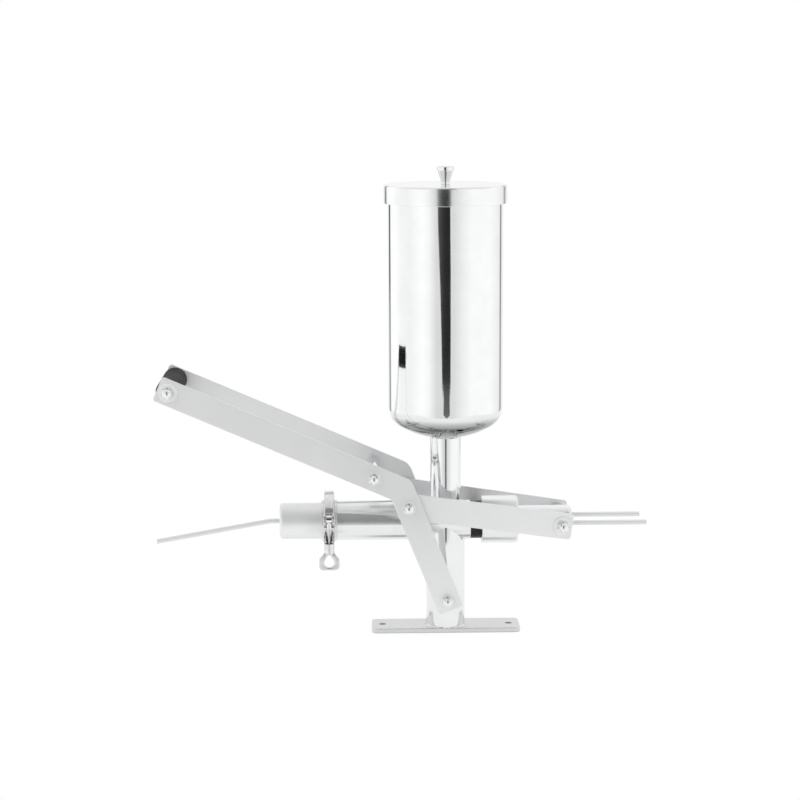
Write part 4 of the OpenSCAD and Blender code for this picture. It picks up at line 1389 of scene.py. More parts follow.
@dataclass
class Outlet:
    """Ferrules, gasket, outlet cap and nozzle tube."""

    flange_r: float = 32.0
    neck_r: float = 27.2
    ferrule_l: float = 9.0
    rim: float = 2.0
    gasket: float = 2.0
    cap_r: float = 23.5
    cap_wall: float = 2.0
    cap_l: float = 54.7
    cap_edge: float = 5.0
    nozzle_r: float = 3.2
    nozzle_bore: float = 2.4
    lead: float = 13.0
    length: float = 151.0
    bend: float = 10.0
    bend_r: float = 20.0
    bevel: float = 18.0

    @property
    def pump_face(self) -> float:
        """Sealing face of the pump's ferrule."""
        return -(AT.pump_left + self.ferrule_l)

    @property
    def cap_face(self) -> float:
        """Sealing face of the cap's ferrule."""
        return self.pump_face - self.gasket

    @property
    def cap_right(self) -> float:
        """Joint of the cap and its ferrule."""
        return self.cap_face - self.ferrule_l

    @property
    def cap_left(self) -> float:
        """Closed end of the cap."""
        return self.cap_right - self.cap_l

    def ferrule(self, bore: float) -> list[Point]:
        """Closed profile of a ferrule with its sealing face at height 0.

        Args:
            bore: inner radius.

        Returns:
            (radius, height) points.
        """
        slope = self.rim + (self.flange_r - self.neck_r) * math.tan(math.radians(AT.flange_slope))
        corners = [(bore, 0.0), (self.flange_r, 0.0), (self.flange_r, self.rim), (self.neck_r, slope),
                   (self.neck_r, self.ferrule_l), (bore, self.ferrule_l)]
        return rounded(corners, [0.2, 0.4, 0.6, 1.0, 0.5, 0.2], 4)

    def joints(self) -> None:
        """Builds both ferrules and the gasket between them."""
        place = along(Axis.X, (self.pump_face, 0, AT.pump_z))
        shape = Shape().turned(self.ferrule(AT.bore_r), place, 128)
        settle(shape.finished("pump_ferrule_steel"), LOOK.collar, Body.FRAME, "pump_ferrule")
        flipped = [(r, -h) for r, h in self.ferrule(self.cap_r - self.cap_wall)]
        shape = Shape().turned(flipped, along(Axis.X, (self.cap_face, 0, AT.pump_z)), 128)
        settle(shape.finished("cap_ferrule_steel"), LOOK.collar, Body.FRAME, "cap_ferrule")
        ring = chamfered_ring(AT.bore_r, self.flange_r, 0.0, self.gasket, 0.3)
        shape = Shape().turned(ring, along(Axis.X, (self.cap_face, 0, AT.pump_z)), 128)
        settle(shape.finished("gasket_ring"), LOOK.gasket, Body.FRAME, "gasket")

    def cap(self) -> None:
        """Builds the closed outlet cap."""
        r, wall, edge, hole = self.cap_r, self.cap_wall, self.cap_edge, self.nozzle_r
        outer = rounded([(hole, 0.0), (r, 0.0), (r, self.cap_l)], [0, edge, 0], 12)
        inner = rounded([(r - wall, self.cap_l), (r - wall, wall), (hole, wall)], [0, edge - wall, 0], 8)
        shape = Shape().turned(outer + inner, along(Axis.X, (self.cap_left, 0, AT.pump_z)), 160)
        settle(shape.finished("outlet_cap_steel", 40), LOOK.cap, Body.FRAME, "outlet_cap")

    def nozzle(self) -> None:
        """Builds the bent nozzle tube with its slanted open tip."""
        back = self.bend_r * math.tan(math.radians(self.bend) / 2)
        slant = math.tan(math.radians(self.bevel))
        drop = math.radians(self.bend)
        corner = Vector((self.cap_left - self.lead, 0, AT.pump_z))
        inlet = Vector((self.cap_left + self.cap_wall, 0, AT.pump_z))
        arc = arc_points((corner.x + back, AT.pump_z - self.bend_r), self.bend_r, 90, 90 + self.bend, 8)
        ahead = Vector((-math.cos(drop), 0, -math.sin(drop)))
        reach = self.length - self.nozzle_r * slant
        path = [inlet, corner + Vector((back + 2, 0, 0)), *(Vector((x, 0, z)) for x, z in arc),
                corner + ahead * (reach - 0.4), corner + ahead * reach]
        steps = 40
        across = Vector((0, 1, 0))
        shape = Shape().swept(path, circle_outline((0, 0), self.nozzle_r, steps), across, slant)
        first = len(shape.bm.verts)
        shape.swept(path, circle_outline((0, 0), self.nozzle_bore, steps), across, slant)
        shape.bm.verts.ensure_lookup_table()
        for start in (0, (len(path) - 1) * steps):
            for k in range(steps):
                n = (k + 1) % steps
                corners = [start + k, start + n, first + start + n, first + start + k]
                shape.bm.faces.new([shape.bm.verts[i] for i in corners])
        settle(shape.finished("nozzle_tube"), LOOK.thin_tube, Body.FRAME, "nozzle")

    def build(self) -> None:
        """Builds all of the outlet."""
        self.joints()
        self.cap()
        self.nozzle()


@dataclass
class PipeClamp:
    """Hinged clamp round the ferrules with its swing bolt and wing nut."""

    x: float = -152.0
    radius: float = 39.0
    width: float = 13.0
    split: float = 2.0
    ear_w: float = 14.2
    slot: float = 8.6
    reach: float = 46.0
    pin_up: float = 11.5
    pin_to_nut: float = 31.5
    bolt_r: float = 3.0
    thread_top: float = 12.0
    shank_top: float = 3.4
    pitch: float = 1.0
    pin_r: float = 2.5
    eye_wall: float = 2.6
    nut_r: float = 6.75
    nut_h: float = 13.0
    loop_w: float = 26.4
    loop_h: float = 22.4
    loop_t: float = 8.0
    hinge_r: float = 5.0
    hinge_out: float = 5.5
    hinge_root: float = 34.5
    hinge_split: float = 1.5
    knuckle_wall: float = 3.4
    groove_r: float = 32.6
    groove_depth: float = 3.0
    groove_half: float = 3.15
    split_r: float = 34.0
    ear_half: float = 6.5
    ear_low: float = 20.0
    ear_root: float = 33.5
    seat_gap: float = 0.425

    @property
    def prong(self) -> float:
        """Width of each prong of the forked ears."""
        return (self.ear_w - self.slot) / 2

    @property
    def slot_end(self) -> float:
        """Y of the inner end of the ears' slot."""
        return -(self.reach - self.pin_r - self.eye_wall - 0.4)

    @property
    def knuckle(self) -> float:
        """Half the width of the upper half's hinge knuckle, with its play."""
        return self.width / 2 - self.knuckle_wall

    @property
    def hinge_y(self) -> float:
        """Axis of the clamp hinge."""
        return self.radius + self.hinge_out

    @property
    def pin_z(self) -> float:
        """Height of the swing pin."""
        return AT.pump_z + self.pin_up

    @property
    def ear_out(self) -> float:
        """Outer end of the ears."""
        return self.reach + 2 * self.bolt_r

    def side_block(self, shape: Shape, corners: Sequence[Point], radii: Sequence[float], middle: float,
                   width: float, edge: float = 0.7) -> None:
        """Adds a block with a rounded outline in the YZ plane.

        Args:
            shape: the shape to add to.
            corners: (y, z) corners, with z from the pump axis.
            radii: corner radii.
            middle: middle of its width, from the clamp's middle plane.
            width: width along X.
            edge: broken edge.
        """
        place = sideways((self.x + middle, 0, AT.pump_z))
        shape.slab(rounded(corners, radii, 6), [], width, place, edge, 2)

    def prongs(self, shape: Shape, corners: Sequence[Point], radii: Sequence[float]) -> None:
        """Adds the two prongs of a forked ear.

        Args:
            shape: the shape to add to.
            corners: (y, z) corners, with z from the pump axis.
            radii: corner radii.
        """
        for side in (-1, 1):
            self.side_block(shape, corners, radii, side * (self.slot + self.prong) / 2, self.prong, 0.5)

    def hinge_eye(self, shape: Shape, start: float, end: float) -> None:
        """Adds a hinge knuckle to a shape, from one X to another about the clamp's middle plane."""
        eye = chamfered_ring(self.pin_r, self.hinge_r, start, end, 0.4)
        shape.turned(eye, along(Axis.X, (self.x, self.hinge_y, AT.pump_z)), 64)

    def nut_seat(self, *stations: float) -> list[Point]:
        """Points of the round seat that the wing nut swings clear of.

        Args:
            stations: y of the points.

        Returns:
            (y, z) points, with z from the pump axis.
        """
        swing = self.pin_to_nut - self.seat_gap
        return [(y, self.pin_up - math.sqrt(swing ** 2 - (y + self.reach) ** 2)) for y in stations]

    def band(self) -> list[Point]:
        """Closed profile (radius, X) of the band.

        Returns:
            The points.
        """
        half, groove = self.width / 2, self.groove_half
        inner = self.groove_r - self.groove_depth
        mouth = groove + self.groove_depth * math.tan(math.radians(AT.flange_slope))
        corners = [(inner, half), (self.radius, half), (self.radius, -half), (inner, -half), (inner, -mouth),
                   (self.groove_r, -groove), (self.groove_r, groove), (inner, mouth)]
        return rounded(corners, [0.4, 1.4, 1.4, 0.4, 0.3, 0.3, 0.3, 0.3], 4)

    def half_band(self, shape: Shape, upper: bool) -> None:
        """Adds half of the band, clear of the split plane.

        Args:
            shape: the shape to add to.
            upper: whether it is the upper half.
        """
        gap = math.degrees(math.asin(self.split / 2 / self.split_r))
        # local X of the turned frame points down, so the upper half lies round 180 degrees
        middle = 180.0 if upper else 0.0
        arc = (middle - 90 + gap, middle + 90 - gap)
        shape.turned(self.band(), along(Axis.X, (self.x, 0, AT.pump_z)), 144, arc)

    def upper_half(self) -> None:
        """Builds the upper half with its forked ear and its hinge knuckle."""
        shape = Shape()
        self.half_band(shape, True)
        end, root = self.slot_end, self.hinge_root
        low, high = self.pin_up - self.ear_half, self.pin_up + self.ear_half
        ear = [(end - 0.6, low), (-root, low), (-root, high), (end - 0.6, high)]
        self.side_block(shape, ear, [0.3, 0.3, 3.0, 0.3], 0.0, self.ear_w)
        fork = [(-self.ear_out, low), (end + 0.8, low), (end + 0.8, high), (-self.ear_out, high)]
        self.prongs(shape, fork, [3.0, 0.3, 0.3, 4.5])
        gap, height = self.hinge_split, self.hinge_r
        tongue = [(root, gap), (self.hinge_y, gap), (self.hinge_y, height), (root, height)]
        self.side_block(shape, tongue, [0.3] * 4, 0.0, 2 * self.knuckle - 0.4, 0.3)
        self.hinge_eye(shape, 0.2 - self.knuckle, self.knuckle - 0.2)
        settle(shape.finished("clamp_half_upper", 40), LOOK.cast, Body.FRAME, "clamp_upper")

    def lower_half(self) -> None:
        """Builds the lower half with its forked ear, its round seat and its two hinge knuckles."""
        shape = Shape()
        self.half_band(shape, False)
        end, inner, root = self.slot_end, -self.ear_root, self.hinge_root
        top = self.pin_up - self.ear_low
        under_bolt = [self.bolt_r * step - self.reach for step in (-1, 0, 1)]
        fork = self.nut_seat(-self.ear_out, *under_bolt, end + 0.8)
        fork += [(end + 0.8, top), (-self.ear_out, top)]
        self.prongs(shape, fork, [1.0, 0, 0, 0, 0.2, 0.2, 3.0])
        ear = self.nut_seat(end - 0.6, inner - 3.5, inner) + [(inner, top), (end - 0.6, top)]
        self.side_block(shape, ear, [0.2, 0, 0.3, 0.3, 0.3], 0.0, self.ear_w)
        gap, depth = -self.hinge_split, -self.hinge_r
        arm = [(root, depth), (self.hinge_y, depth), (self.hinge_y, gap), (root, gap)]
        cheek = (self.width / 2 - self.knuckle) / 2
        for side in (-1, 1):
            self.side_block(shape, arm, [0.3] * 4, side * (self.knuckle + cheek), 2 * cheek, 0.3)
            self.hinge_eye(shape, *sorted((side * self.knuckle, side * self.width / 2)))
        settle(shape.finished("clamp_half_lower", 40), LOOK.cast, Body.FRAME, "clamp_lower")

    def pins(self) -> None:
        """Builds the hinge pin and the swing pin with peened ends."""
        for name, node, y, z, width in (
            ("hinge_pin_peened", "clamp_hinge_pin", self.hinge_y, AT.pump_z, self.width + 1),
            ("swing_pin_peened", "swing_pin", -self.reach, self.pin_z, self.ear_w + 1),
        ):
            profile = bar_profile(self.pin_r, -width / 2, width / 2, (0.5, 0.5), 4)
            shape = Shape().turned(profile, along(Axis.X, (self.x, y, z)), 40)
            settle(shape.finished(name), LOOK.fastener, Body.FRAME, node)

    def swing_bolt(self) -> None:
        """Builds the eye bolt with its rolled thread."""
        half = self.slot / 2 - 0.4
        eye = chamfered_ring(self.pin_r + AT.bolt_play, self.pin_r + self.eye_wall, -half, half, 0.6)
        shape = Shape().turned(eye, along(Axis.X, (self.x, -self.reach, self.pin_z)), 64)
        tip = self.pin_z - self.pin_to_nut - self.nut_h + 2
        place = Matrix.Translation((self.x, -self.reach, 0))
        low, high = self.pin_z - self.thread_top, self.pin_z - self.shank_top
        shape.turned(bar_profile(self.bolt_r, low, high, (0.2, 0.2), 2), place, 40)
        shape.threaded(self.bolt_r, self.pitch, tip, low, place)
        settle(shape.finished("eye_bolt", 50), LOOK.fastener, Body.SWING_BOLT, "swing_bolt")

    def wing_nut(self) -> None:
        """Builds the looped wing nut."""
        top = self.pin_z - self.pin_to_nut
        base = top - self.nut_h
        half, hole = self.loop_w / 2, self.loop_w / 4
        low = base - self.loop_h
        shoulder, neck = base - 8, self.nut_r - 0.5
        corners = [(-half, low), (half, low), (half, shoulder), (neck, base + 1), (-neck, base + 1),
                   (-half, shoulder)]
        outline = rounded(corners, [5, 5, 4, 0.2, 0.2, 4], 8)
        eye_z = low + 3.6 + hole
        eye = arc_points((0.0, eye_z), hole, 160, 380, 30)
        eye += [(1.4, base - 2.6), (-1.4, base - 2.6)]
        shape = Shape().slab(outline, [eye], self.loop_t, upright((self.x, -self.reach, 0)), 1.6, 4)
        bore = self.bolt_r + AT.bolt_play
        line = [(bore, base - 0.5), (self.nut_r, base - 0.5), (self.nut_r, top), (bore, top)]
        body = rounded(line, [0.1, 0.8, 0.8, 0.4], 4)
        shape.turned(body, Matrix.Translation((self.x, -self.reach, 0)), 64)
        settle(shape.finished("looped_wing_nut", 40), LOOK.cast, Body.WING_NUT, "wing_nut")

    def build(self) -> None:
        """Builds all of the clamp."""
        self.upper_half()
        self.lower_half()
        self.pins()
        self.swing_bolt()
        self.wing_nut()


# ---------- lever ----------


@dataclass
class Lever:
    """Two dog-leg plates joined by a spacer tube and the handle."""

    width: float = 33.0
    end: float = 14.0
    corner: float = 4.0
    bend_r: float = 22.0
    spacer_r: float = 8.0
    tube_r: float = 6.0
    grip_r: float = 15.7
    grip_gap: float = 0.4
    grip_edge: float = 2.0
    groove_in: float = 7.5
    head_h: float = 5.3
    link_spacer_d: float = 20.0
    link_washer_d: float = 22.0

    def outline(self) -> list[Point]:
        """Outline of a plate in the XZ plane.

        Returns:
            The closed outline.
        """
        half = self.width / 2
        tilt, rise = math.radians(AT.leg_tilt), math.radians(AT.arm_rise)
        leg_side = Vector((math.cos(tilt), math.sin(tilt)))
        arm_side = Vector((math.sin(rise), math.cos(rise)))
        foot = Vector(AT.pivot) - AT.leg_dir * self.end
        tip = AT.bend + AT.arm_dir * (AT.arm_l + self.end)
        out = (leg_side + arm_side).normalized() * (half / math.cos(math.radians(AT.lever_bend / 2)))
        corners = [foot - leg_side * half, foot + leg_side * half, AT.bend + out, tip + arm_side * half,
                   tip - arm_side * half, AT.bend - out]
        radii = [self.corner, self.corner, self.bend_r, self.corner, self.corner, 1.0]
        return rounded([tuple(c) for c in corners], radii, 12)

    def plates(self) -> None:
        """Builds the front and the rear plate."""
        pins = [Vector(AT.pivot), AT.link_pin, AT.spacer_pin, AT.handle_pin]
        holes = [circle_outline(tuple(p), AT.bolt_bore, 32) for p in pins]
        for end, y in (("front", -AT.lever_y), ("rear", AT.lever_y)):
            shape = Shape().slab(self.outline(), holes, AT.lever_t, upright((0, y, 0)))
            settle(shape.finished("lever_plate_" + end), LOOK.arm, Body.LEVER, "lever_" + end)

    def cross_bars(self, parts: Fasteners) -> None:
        """Builds the spacer, the handle tube and their bolts, washers and nuts.

        Args:
            parts: the fasteners.
        """
        seat = AT.lever_out + AT.washer_t
        for stem, at, radius in (("spacer", AT.spacer_pin, self.spacer_r),
                                 ("handle", AT.handle_pin, self.tube_r)):
            parts.bar(stem + "_tube_steel", at, AT.lever_in, Body.LEVER, radius, AT.bolt_bore, stem + "_tube")
        for stem, at, washer_d in (("spacer", AT.spacer_pin, AT.washer_d),
                                   ("handle", AT.handle_pin, AT.wide_washer_d)):
            parts.bar(stem + "_bolt_steel", at, seat + AT.bolt_past_seat, Body.LEVER, AT.bolt_r, 0.0,
                      stem + "_bolt")
            parts.washers(stem + "_washer_pair", at, AT.lever_out, washer_d, Body.LEVER, AT.washer_t,
                          stem + "_washers")
            parts.dome_nuts(stem + "_nut_pair", at, seat, Body.LEVER, stem + "_nuts")

    def link_bolts(self, parts: Fasteners) -> None:
        """Builds the short bolts that carry the links, with their spacers, washers and nuts.

        Args:
            parts: the fasteners.
        """
        at = AT.link_pin
        inner, outer = AT.link_y_lever - AT.splay_room, AT.link_y_lever + AT.splay_room
        head, face = inner - AT.washer_t, AT.lever_out
        seat = face + AT.washer_t
        tip = seat + AT.bolt_past_seat
        sealed = 0.01
        shape = Shape().nut(AT.nut_af, self.head_h, sealed, along(Axis.Y, (at.x, head - self.head_h, at.y)))
        shank = bar_profile(AT.bolt_r, head - 1, tip, (0.2, 0.5), 2)
        shape.turned(shank, along(Axis.Y, (at.x, 0, at.y)), 48)
        settle(shape.mirrored().finished("link_bolt_pair"), LOOK.fastener, Body.LEVER, "link_bolts")
        for stem, y, diameter, thick in (("link_spacer", outer, self.link_spacer_d, AT.lever_in - outer),
                                         ("link_inner_washer", head, self.link_washer_d, AT.washer_t),
                                         ("link_washer", face, AT.washer_d, AT.washer_t)):
            parts.washers(stem + "_pair", at, y, diameter, Body.LEVER, thick, stem + "s")
        parts.dome_nuts("link_nut_pair", at, seat, Body.LEVER, "link_nuts")

    def grip(self) -> None:
        """Builds the black grip with shallow moulded grooves near its ends."""
        half = AT.lever_in - self.grip_gap
        bore = self.tube_r + AT.bolt_play
        r = self.grip_r
        line = [(bore, -half), (r, -half)]
        radii = [0.4, self.grip_edge]
        for y in (self.groove_in - half, half - self.groove_in):
            line += [(r, y - 0.9), (r - 0.5, y - 0.5), (r - 0.5, y + 0.5), (r, y + 0.9)]
            radii += [0.3, 0.2, 0.2, 0.3]
        line += [(r, half), (bore, half)]
        radii += [self.grip_edge, 0.4]
        at = AT.handle_pin
        shape = Shape().turned(rounded(line, radii, 5), along(Axis.Y, (at.x, 0, at.y)), 96)
        settle(shape.finished("hand_grip", 40), LOOK.grip, Body.GRIP, "grip")

    def build(self, parts: Fasteners) -> None:
        """Builds all of the lever.

        Args:
            parts: the fasteners.
        """
        self.plates()
        self.cross_bars(parts)
        self.link_bolts(parts)
        self.grip()


@dataclass
class Links:
    """Front and rear link between the lever and the crosshead."""

    width: float = 34.0
    end: float = 12.5
    corner: float = 4.0
    open_play: float = 3.5

    def build(self) -> None:
        """Builds both links."""
        run = math.hypot(AT.head_x - AT.link_pin.x, AT.link_y_lever - AT.link_y_head)
        rise = AT.link_pin.y - AT.pump_z
        length = math.hypot(run, rise)
        slope = math.degrees(math.atan2(rise, run))
        half = self.width / 2
        near, far = self.end, -length - self.end
        outline = rounded([(far, -half), (near, -half), (near, half), (far, half)], [self.corner] * 4, 10)
        holes = [circle_outline((0, 0), AT.bolt_bore, 32),
                 circle_outline((-length, 0), AT.bolt_r + self.open_play, 40)]
        for name, node, body, side in (
            ("link_plate_front", "link_front", Body.LINK_FRONT, -1),
            ("link_plate_rear", "link_rear", Body.LINK_REAR, 1),
        ):
            place = (Matrix.Translation((AT.head_x, side * AT.link_y_head, AT.pump_z))
                     @ Matrix.Rotation(math.radians(-side * AT.splay), 4, "Z")
                     @ Matrix.Rotation(math.radians(90), 4, "X")
                     @ Matrix.Rotation(math.radians(-slope), 4, "Z"))
            shape = Shape().slab(outline, holes, AT.link_t, place)
            settle(shape.finished(name), LOOK.link, body, node)


# ---------- plunger ----------


@dataclass
class Plunger:
    """Black plunger, stop collar, rod, crosshead and twin tubes."""

    play: float = 0.1
    front: float = 26.0
    show: float = 14.8
    collar_r: float = 31.0
    collar_l: float = 47.0
    rod_r: float = 18.0
    rod_tail: float = 14.7
    spigot_r: float = 10.0
    spigot_l: float = 40.0
    feed_bore: float = 4.0
    seal_r: float = 1.5
    first_seal: float = 7.0
    seal_step: float = 9.0
    sleeve_r: float = 12.0
    stud_sunk: float = 9.0
    twin_y: float = 25.0
    twin_r: float = 3.3
    twin_bore: float = 2.5
    near_l: float = 111.0
    far_l: float = 108.5

    @property
    def collar_x(self) -> float:
        """Left face of the stop collar."""
        return AT.pump_right + self.show

    def piston(self) -> None:
        """Builds the black plunger with its seal grooves and the seals in them."""
        r, bore = AT.bore_r - self.play, self.feed_bore
        seat, floor = self.spigot_r + AT.bolt_play, self.collar_x - self.spigot_l
        grooves = [self.first_seal + self.seal_step * i - self.front for i in range(2)]
        line = [(bore, -self.front), (r, -self.front)]
        radii = [0.5, 1.2]
        for x in grooves:
            line += [(r, x - 1.7), (r - 1.6, x - 1.5), (r - 1.6, x + 1.5), (r, x + 1.7)]
            radii += [0.1, 0.4, 0.4, 0.1]
        line += [(r, self.collar_x), (seat, self.collar_x), (seat, floor), (bore, floor)]
        radii += [0.6, 0.2, 0.2, 0.2]
        place = along(Axis.X, (0, 0, AT.pump_z))
        shape = Shape().turned(rounded(line, radii, 3), place, 128)
        settle(shape.finished("piston_black", 40), LOOK.plunger, Body.PLUNGER, "plunger")
        shape = Shape()
        for x in grooves:
            shape.turned(circle_outline((AT.bore_r - 0.03 - self.seal_r, x), self.seal_r, 20), place, 96)
        settle(shape.finished("seal_rings"), LOOK.seal, Body.PLUNGER, "plunger_seals")

    def rod(self) -> None:
        """Builds the stop collar and the rod with its rounded end."""
        place = along(Axis.X, (0, 0, AT.pump_z))
        start, end = self.collar_x, self.collar_x + self.collar_l
        r, bore = self.collar_r, self.rod_r + AT.bolt_play
        line = [(bore, start), (r, start), (r, end - 2.2), (r - 1.2, end), (bore, end)]
        shape = Shape().turned(rounded(line, [0.2, 0.7, 0.5, 0.5, 0.4], 4), place, 160)
        settle(shape.finished("collar_turned", 40), LOOK.collar, Body.PLUNGER, "stop_collar")
        tip, tail, spigot = start - self.spigot_l, AT.head_x + self.rod_tail, self.spigot_r
        line = [(0.0, tip), (spigot, tip), (spigot, start), (self.rod_r, start), (self.rod_r, tail),
                (0.0, tail)]
        shape = Shape().turned(rounded(line, [0, 0.5, 0.2, 0.3, 4.0, 0], 8), place, 128)
        settle(shape.finished("rod_polished", 40), LOOK.pump, Body.PLUNGER, "plunger_rod")

    def crosshead(self, parts: Fasteners) -> None:
        """Builds the sleeve across the rod with its studs, washers and nuts.

        Args:
            parts: the fasteners.
        """
        at = Vector((AT.head_x, AT.pump_z))
        inner, outer = AT.link_y_head - AT.splay_room, AT.link_y_head + AT.splay_room
        seat = outer + AT.washer_t
        root, tip = inner - self.stud_sunk, seat + AT.bolt_past_seat
        parts.bar("sleeve_turned", at, inner, Body.PLUNGER, self.sleeve_r, AT.bolt_bore, "crosshead_sleeve")
        stud = bar_profile(AT.bolt_r, root, tip, (0.4, 0.4), 2)
        shape = Shape().turned(stud, along(Axis.Y, (at.x, 0, at.y)), 48)
        settle(shape.mirrored().finished("stud_pair"), LOOK.fastener, Body.PLUNGER, "crosshead_studs")
        parts.washers("head_washer_pair", at, outer, AT.wide_washer_d, Body.PLUNGER, AT.washer_t,
                      "crosshead_washers")
        parts.dome_nuts("head_nut_pair", at, seat, Body.PLUNGER, "crosshead_nuts")

    def twin_tubes(self) -> None:
        """Builds the two filling tubes."""
        for name, node, y, length in (("filling_tube_near", "twin_tube_near", -self.twin_y, self.near_l),
                                      ("filling_tube_far", "twin_tube_far", self.twin_y, self.far_l)):
            profile = chamfered_ring(self.twin_bore, self.twin_r, AT.bolt_r, length, 0.25)
            shape = Shape().turned(profile, along(Axis.X, (AT.head_x, y, AT.pump_z)), 48)
            settle(shape.finished(name), LOOK.thin_tube, Body.PLUNGER, node)

    def build(self, parts: Fasteners) -> None:
        """Builds all that moves with the plunger.

        Args:
            parts: the fasteners.
        """
        self.piston()
        self.rod()
        self.crosshead(parts)
        self.twin_tubes()


# ---------- studio ----------


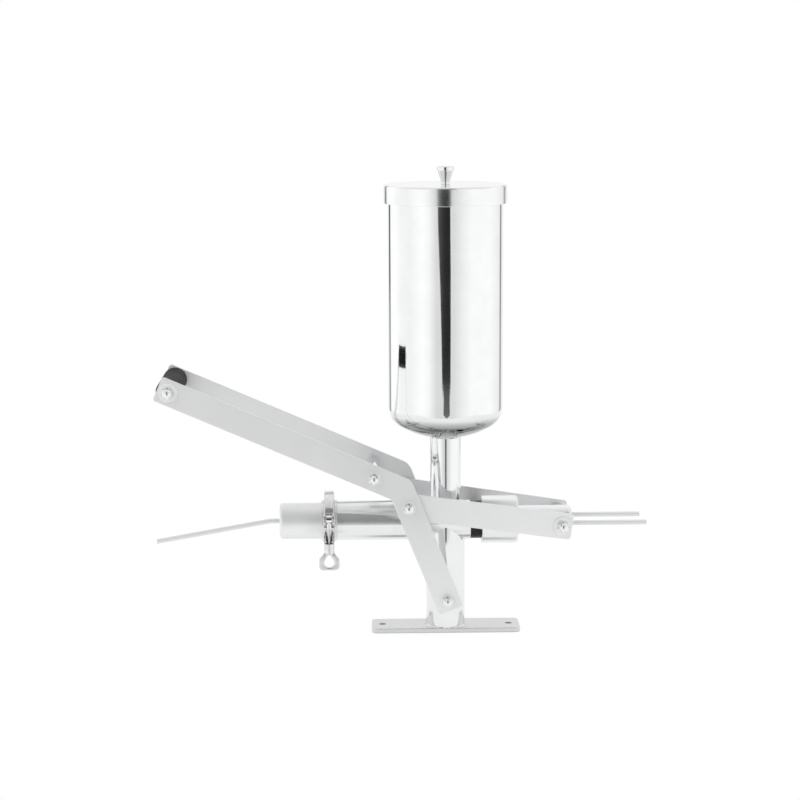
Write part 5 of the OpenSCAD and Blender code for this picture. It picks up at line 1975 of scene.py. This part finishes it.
@dataclass
class Studio:
    """Camera, pale table, soft lamps and a white room with a dark gap behind the camera."""

    eye: Point3 = (-0.119431, -2.690209, 0.736972)
    yaw: float = 1.286
    pitch: float = 9.120
    roll: float = -0.210
    focal_px: float = 2099.853
    sensor: float = 36.0
    table_front: float = -0.54
    table_back: float = 1.05
    table_half: float = 0.85
    camera_glow: float = 0.07
    glow_share: float = 0.8
    gap_y: float = -2.75

    def camera(self) -> None:
        """Adds the camera that the photograph was taken with."""
        yaw, pitch, roll = (math.radians(a) for a in (self.yaw, self.pitch, self.roll))
        ahead = Vector((math.sin(yaw) * math.cos(pitch), math.cos(yaw) * math.cos(pitch), -math.sin(pitch)))
        right = Vector((math.cos(yaw), -math.sin(yaw), 0.0))
        up = right.cross(ahead)
        across = right * math.cos(roll) + up * math.sin(roll)
        over = up * math.cos(roll) - right * math.sin(roll)
        data = bpy.data.cameras.new("photo_camera")
        data.sensor_width = self.sensor
        data.lens = self.focal_px * self.sensor / IMAGE_PX
        data.clip_end = 50.0
        holder = bpy.data.objects.new("photo_camera", data)
        turn = Matrix((across, over, -ahead)).transposed().to_4x4()
        holder.matrix_world = Matrix.Translation(self.eye) @ turn
        bpy.context.scene.collection.objects.link(holder)
        bpy.context.scene.camera = holder

    def face(self, name: str, corners: Sequence[Point3]) -> tuple[bpy.types.Object, Graph]:
        """Adds a flat face with an empty material.

        Args:
            name: name of the face and its material.
            corners: its corners, in order.

        Returns:
            The face and its material's node tree.
        """
        mesh = bpy.data.meshes.new(name)
        mesh.from_pydata(corners, [], [tuple(range(len(corners)))])
        made = bpy.data.objects.new(name, mesh)
        bpy.context.scene.collection.objects.link(made)
        material = bpy.data.materials.new(name)
        material.use_nodes = True
        mesh.materials.append(material)
        return made, Graph(material.node_tree)

    def table(self) -> None:
        """Adds the white table top, which keeps a faint shadow and has painted contact shade in its glow."""
        front, back, half = self.table_front, self.table_back, self.table_half
        corners = [(-half, front, 0.0), (half, front, 0.0), (half, back, 0.0), (-half, back, 0.0)]
        top, graph = self.face("table_top", corners)
        rays = graph.node("LightPath").outputs
        mirrored = graph.math("MAXIMUM", rays["Is Glossy Ray"], rays["Is Transmission Ray"])
        seen = graph.math("MAXIMUM", rays["Is Camera Ray"], mirrored)
        paper = graph.node("BsdfDiffuse", {"Color": (0.9, 0.9, 0.9, 1.0)}).outputs[0]
        glow = graph.math("ADD", graph.math("MULTIPLY", rays["Is Camera Ray"], self.camera_glow), 1.0)
        # painted contact shade: the glow falls towards a tenth near and under the object and in the base
        # plate's holes
        strength = graph.math("MULTIPLY", glow, graph.shade_in_gaps(0.02, 0.1))
        white = graph.node("Emission", {"Color": WHITE, "Strength": strength}).outputs[0]
        share = graph.math("MULTIPLY", seen, self.glow_share)
        graph.show("OutputMaterial", graph.node("MixShader", {0: share, 1: paper, 2: white}).outputs[0])

    def dark_gap(self) -> None:
        """Adds the unlit gap between the front lights, which only shows as a stripe in polished steel."""
        left = [(-0.85, 1.15), (-0.85, 0.36), (-0.80, 0.30), (-0.64, 0.19), (-0.50, 0.05), (-0.42, -0.09),
                (-0.24, -0.115), (-0.32, -0.14), (-0.30, -0.45), (-0.06, -1.2)]
        right = [(0.06, -1.2), (0.28, -0.45), (0.29, -0.14), (0.24, -0.115), (0.36, -0.09), (0.38, 0.20),
                 (0.34, 0.34), (0.34, 1.15)]
        panel, graph = self.face("dark_gap", [(x, self.gap_y, z) for x, z in left + right])
        parts = graph.node("SeparateXYZ", {0: graph.node("TexCoord").outputs["Object"]}).outputs
        across = graph.ramp(parts[0], [(-0.9, 0.12), (-0.6, 0.06), (-0.2, 0.028), (0.2, 0.022), (0.4, 0.045)])
        low_down = graph.ramp(
            parts[2], [(-1.2, 0.2), (-0.16, 0.15), (-0.1, 0.1), (-0.06, 0.035), (0.1, 0.01)])
        level = graph.math("MAXIMUM", across, low_down)
        dim = graph.node("Emission", {"Color": WHITE, "Strength": level})
        graph.show("OutputMaterial", dim.outputs[0])
        for ray in ("camera", "diffuse", "shadow", "transmission", "volume_scatter"):
            setattr(panel, "visible_" + ray, False)

    def room(self) -> None:
        """Sets the white room: brighter at the sides, dimmer above the front, dark edges far behind."""
        world = bpy.data.worlds.new("white_room")
        bpy.context.scene.world = world
        world.use_nodes = True
        graph = Graph(world.node_tree)
        way = graph.node("TexCoord").outputs["Generated"]
        parts = graph.node("SeparateXYZ", {0: way}).outputs
        ahead = graph.math("MULTIPLY", parts[1], -1.0)
        azimuth = graph.math("DEGREES", graph.math("ARCTAN2", parts[0], ahead))
        height = graph.math("DEGREES", graph.math("ARCSINE", parts[2]))
        arch = graph.math("DEGREES", graph.math("ARCTAN2", parts[2], ahead))
        walls = graph.ramp(azimuth, [
            (-180, 0.98), (-158, 0.95), (-153, 0.12), (-147, 0.06), (-143, 1.08), (-120, 1.12), (-104, 1.02),
            (-77, 0.99), (-50, 1.1), (-36, 1.03), (-20, 0.77), (14, 0.78), (30, 0.93), (50, 1.06), (98, 1.07),
            (126, 0.95), (134, 0.92), (138, 0.25), (143, 0.3), (147, 0.92), (180, 0.98)])
        walls = graph.math("MAXIMUM", walls, graph.math("MULTIPLY", graph.smooth(height, -5.2, -7.2), 0.38))
        ceiling = graph.ramp(arch, [
            (0, 0.86), (60, 0.82), (78, 0.78), (100, 0.88), (135, 1.0), (152, 1.0), (166, 0.74), (180, 0.9)])
        aside = graph.smooth(graph.math("ABSOLUTE", azimuth), 12.0, 26.0)
        low_part = graph.smooth(arch, 62.0, 76.0)
        open_part = graph.spread(graph.math("MAXIMUM", aside, low_part), 0.22, 1.0)
        ceiling = graph.math("MULTIPLY", ceiling, open_part)
        high = graph.smooth(height, 9.0, 24.0)
        low_share = graph.math("MULTIPLY", walls, graph.math("SUBTRACT", 1.0, high))
        level = graph.math("ADD", low_share, graph.math("MULTIPLY", ceiling, high))
        level = graph.math("MAXIMUM", level, graph.node("LightPath").outputs["Is Camera Ray"])
        shade = graph.node("Background", {"Color": WHITE, "Strength": level})
        graph.show("OutputWorld", shade.outputs[0])

    def lamps(self) -> None:
        """Adds two broad soft lamps that don't show in the polished steel."""
        for name, where, size, power in (
            ("soft_left", (-1.3, -1.5, 1.6), 1.2, 7.0),
            ("soft_top", (0.5, -0.4, 1.9), 1.4, 6.0),
        ):
            data = bpy.data.lights.new(name, "AREA")
            data.size = size
            data.energy = power
            holder = bpy.data.objects.new(name, data)
            holder.location = where
            aim = Vector((-0.05, 0.0, 0.3)) - Vector(where)
            holder.rotation_euler = aim.to_track_quat("-Z", "Y").to_euler()
            holder.visible_glossy = False
            bpy.context.scene.collection.objects.link(holder)

    def build(self) -> None:
        """Builds the studio."""
        bpy.context.scene.view_settings.view_transform = "Standard"
        self.camera()
        self.table()
        self.dark_gap()
        self.room()
        self.lamps()


def main() -> None:
    """Builds the studio and every sub-assembly."""
    logging.basicConfig(level=logging.INFO, format="%(name)s: %(message)s")
    parts = Fasteners()
    Studio().build()
    Foot().build(parts)
    Hopper().build()
    Lid().build()
    Outlet().build()
    PipeClamp().build()
    Lever().build(parts)
    Links().build()
    Plunger().build(parts)


if __name__ == "__main__":
    main()
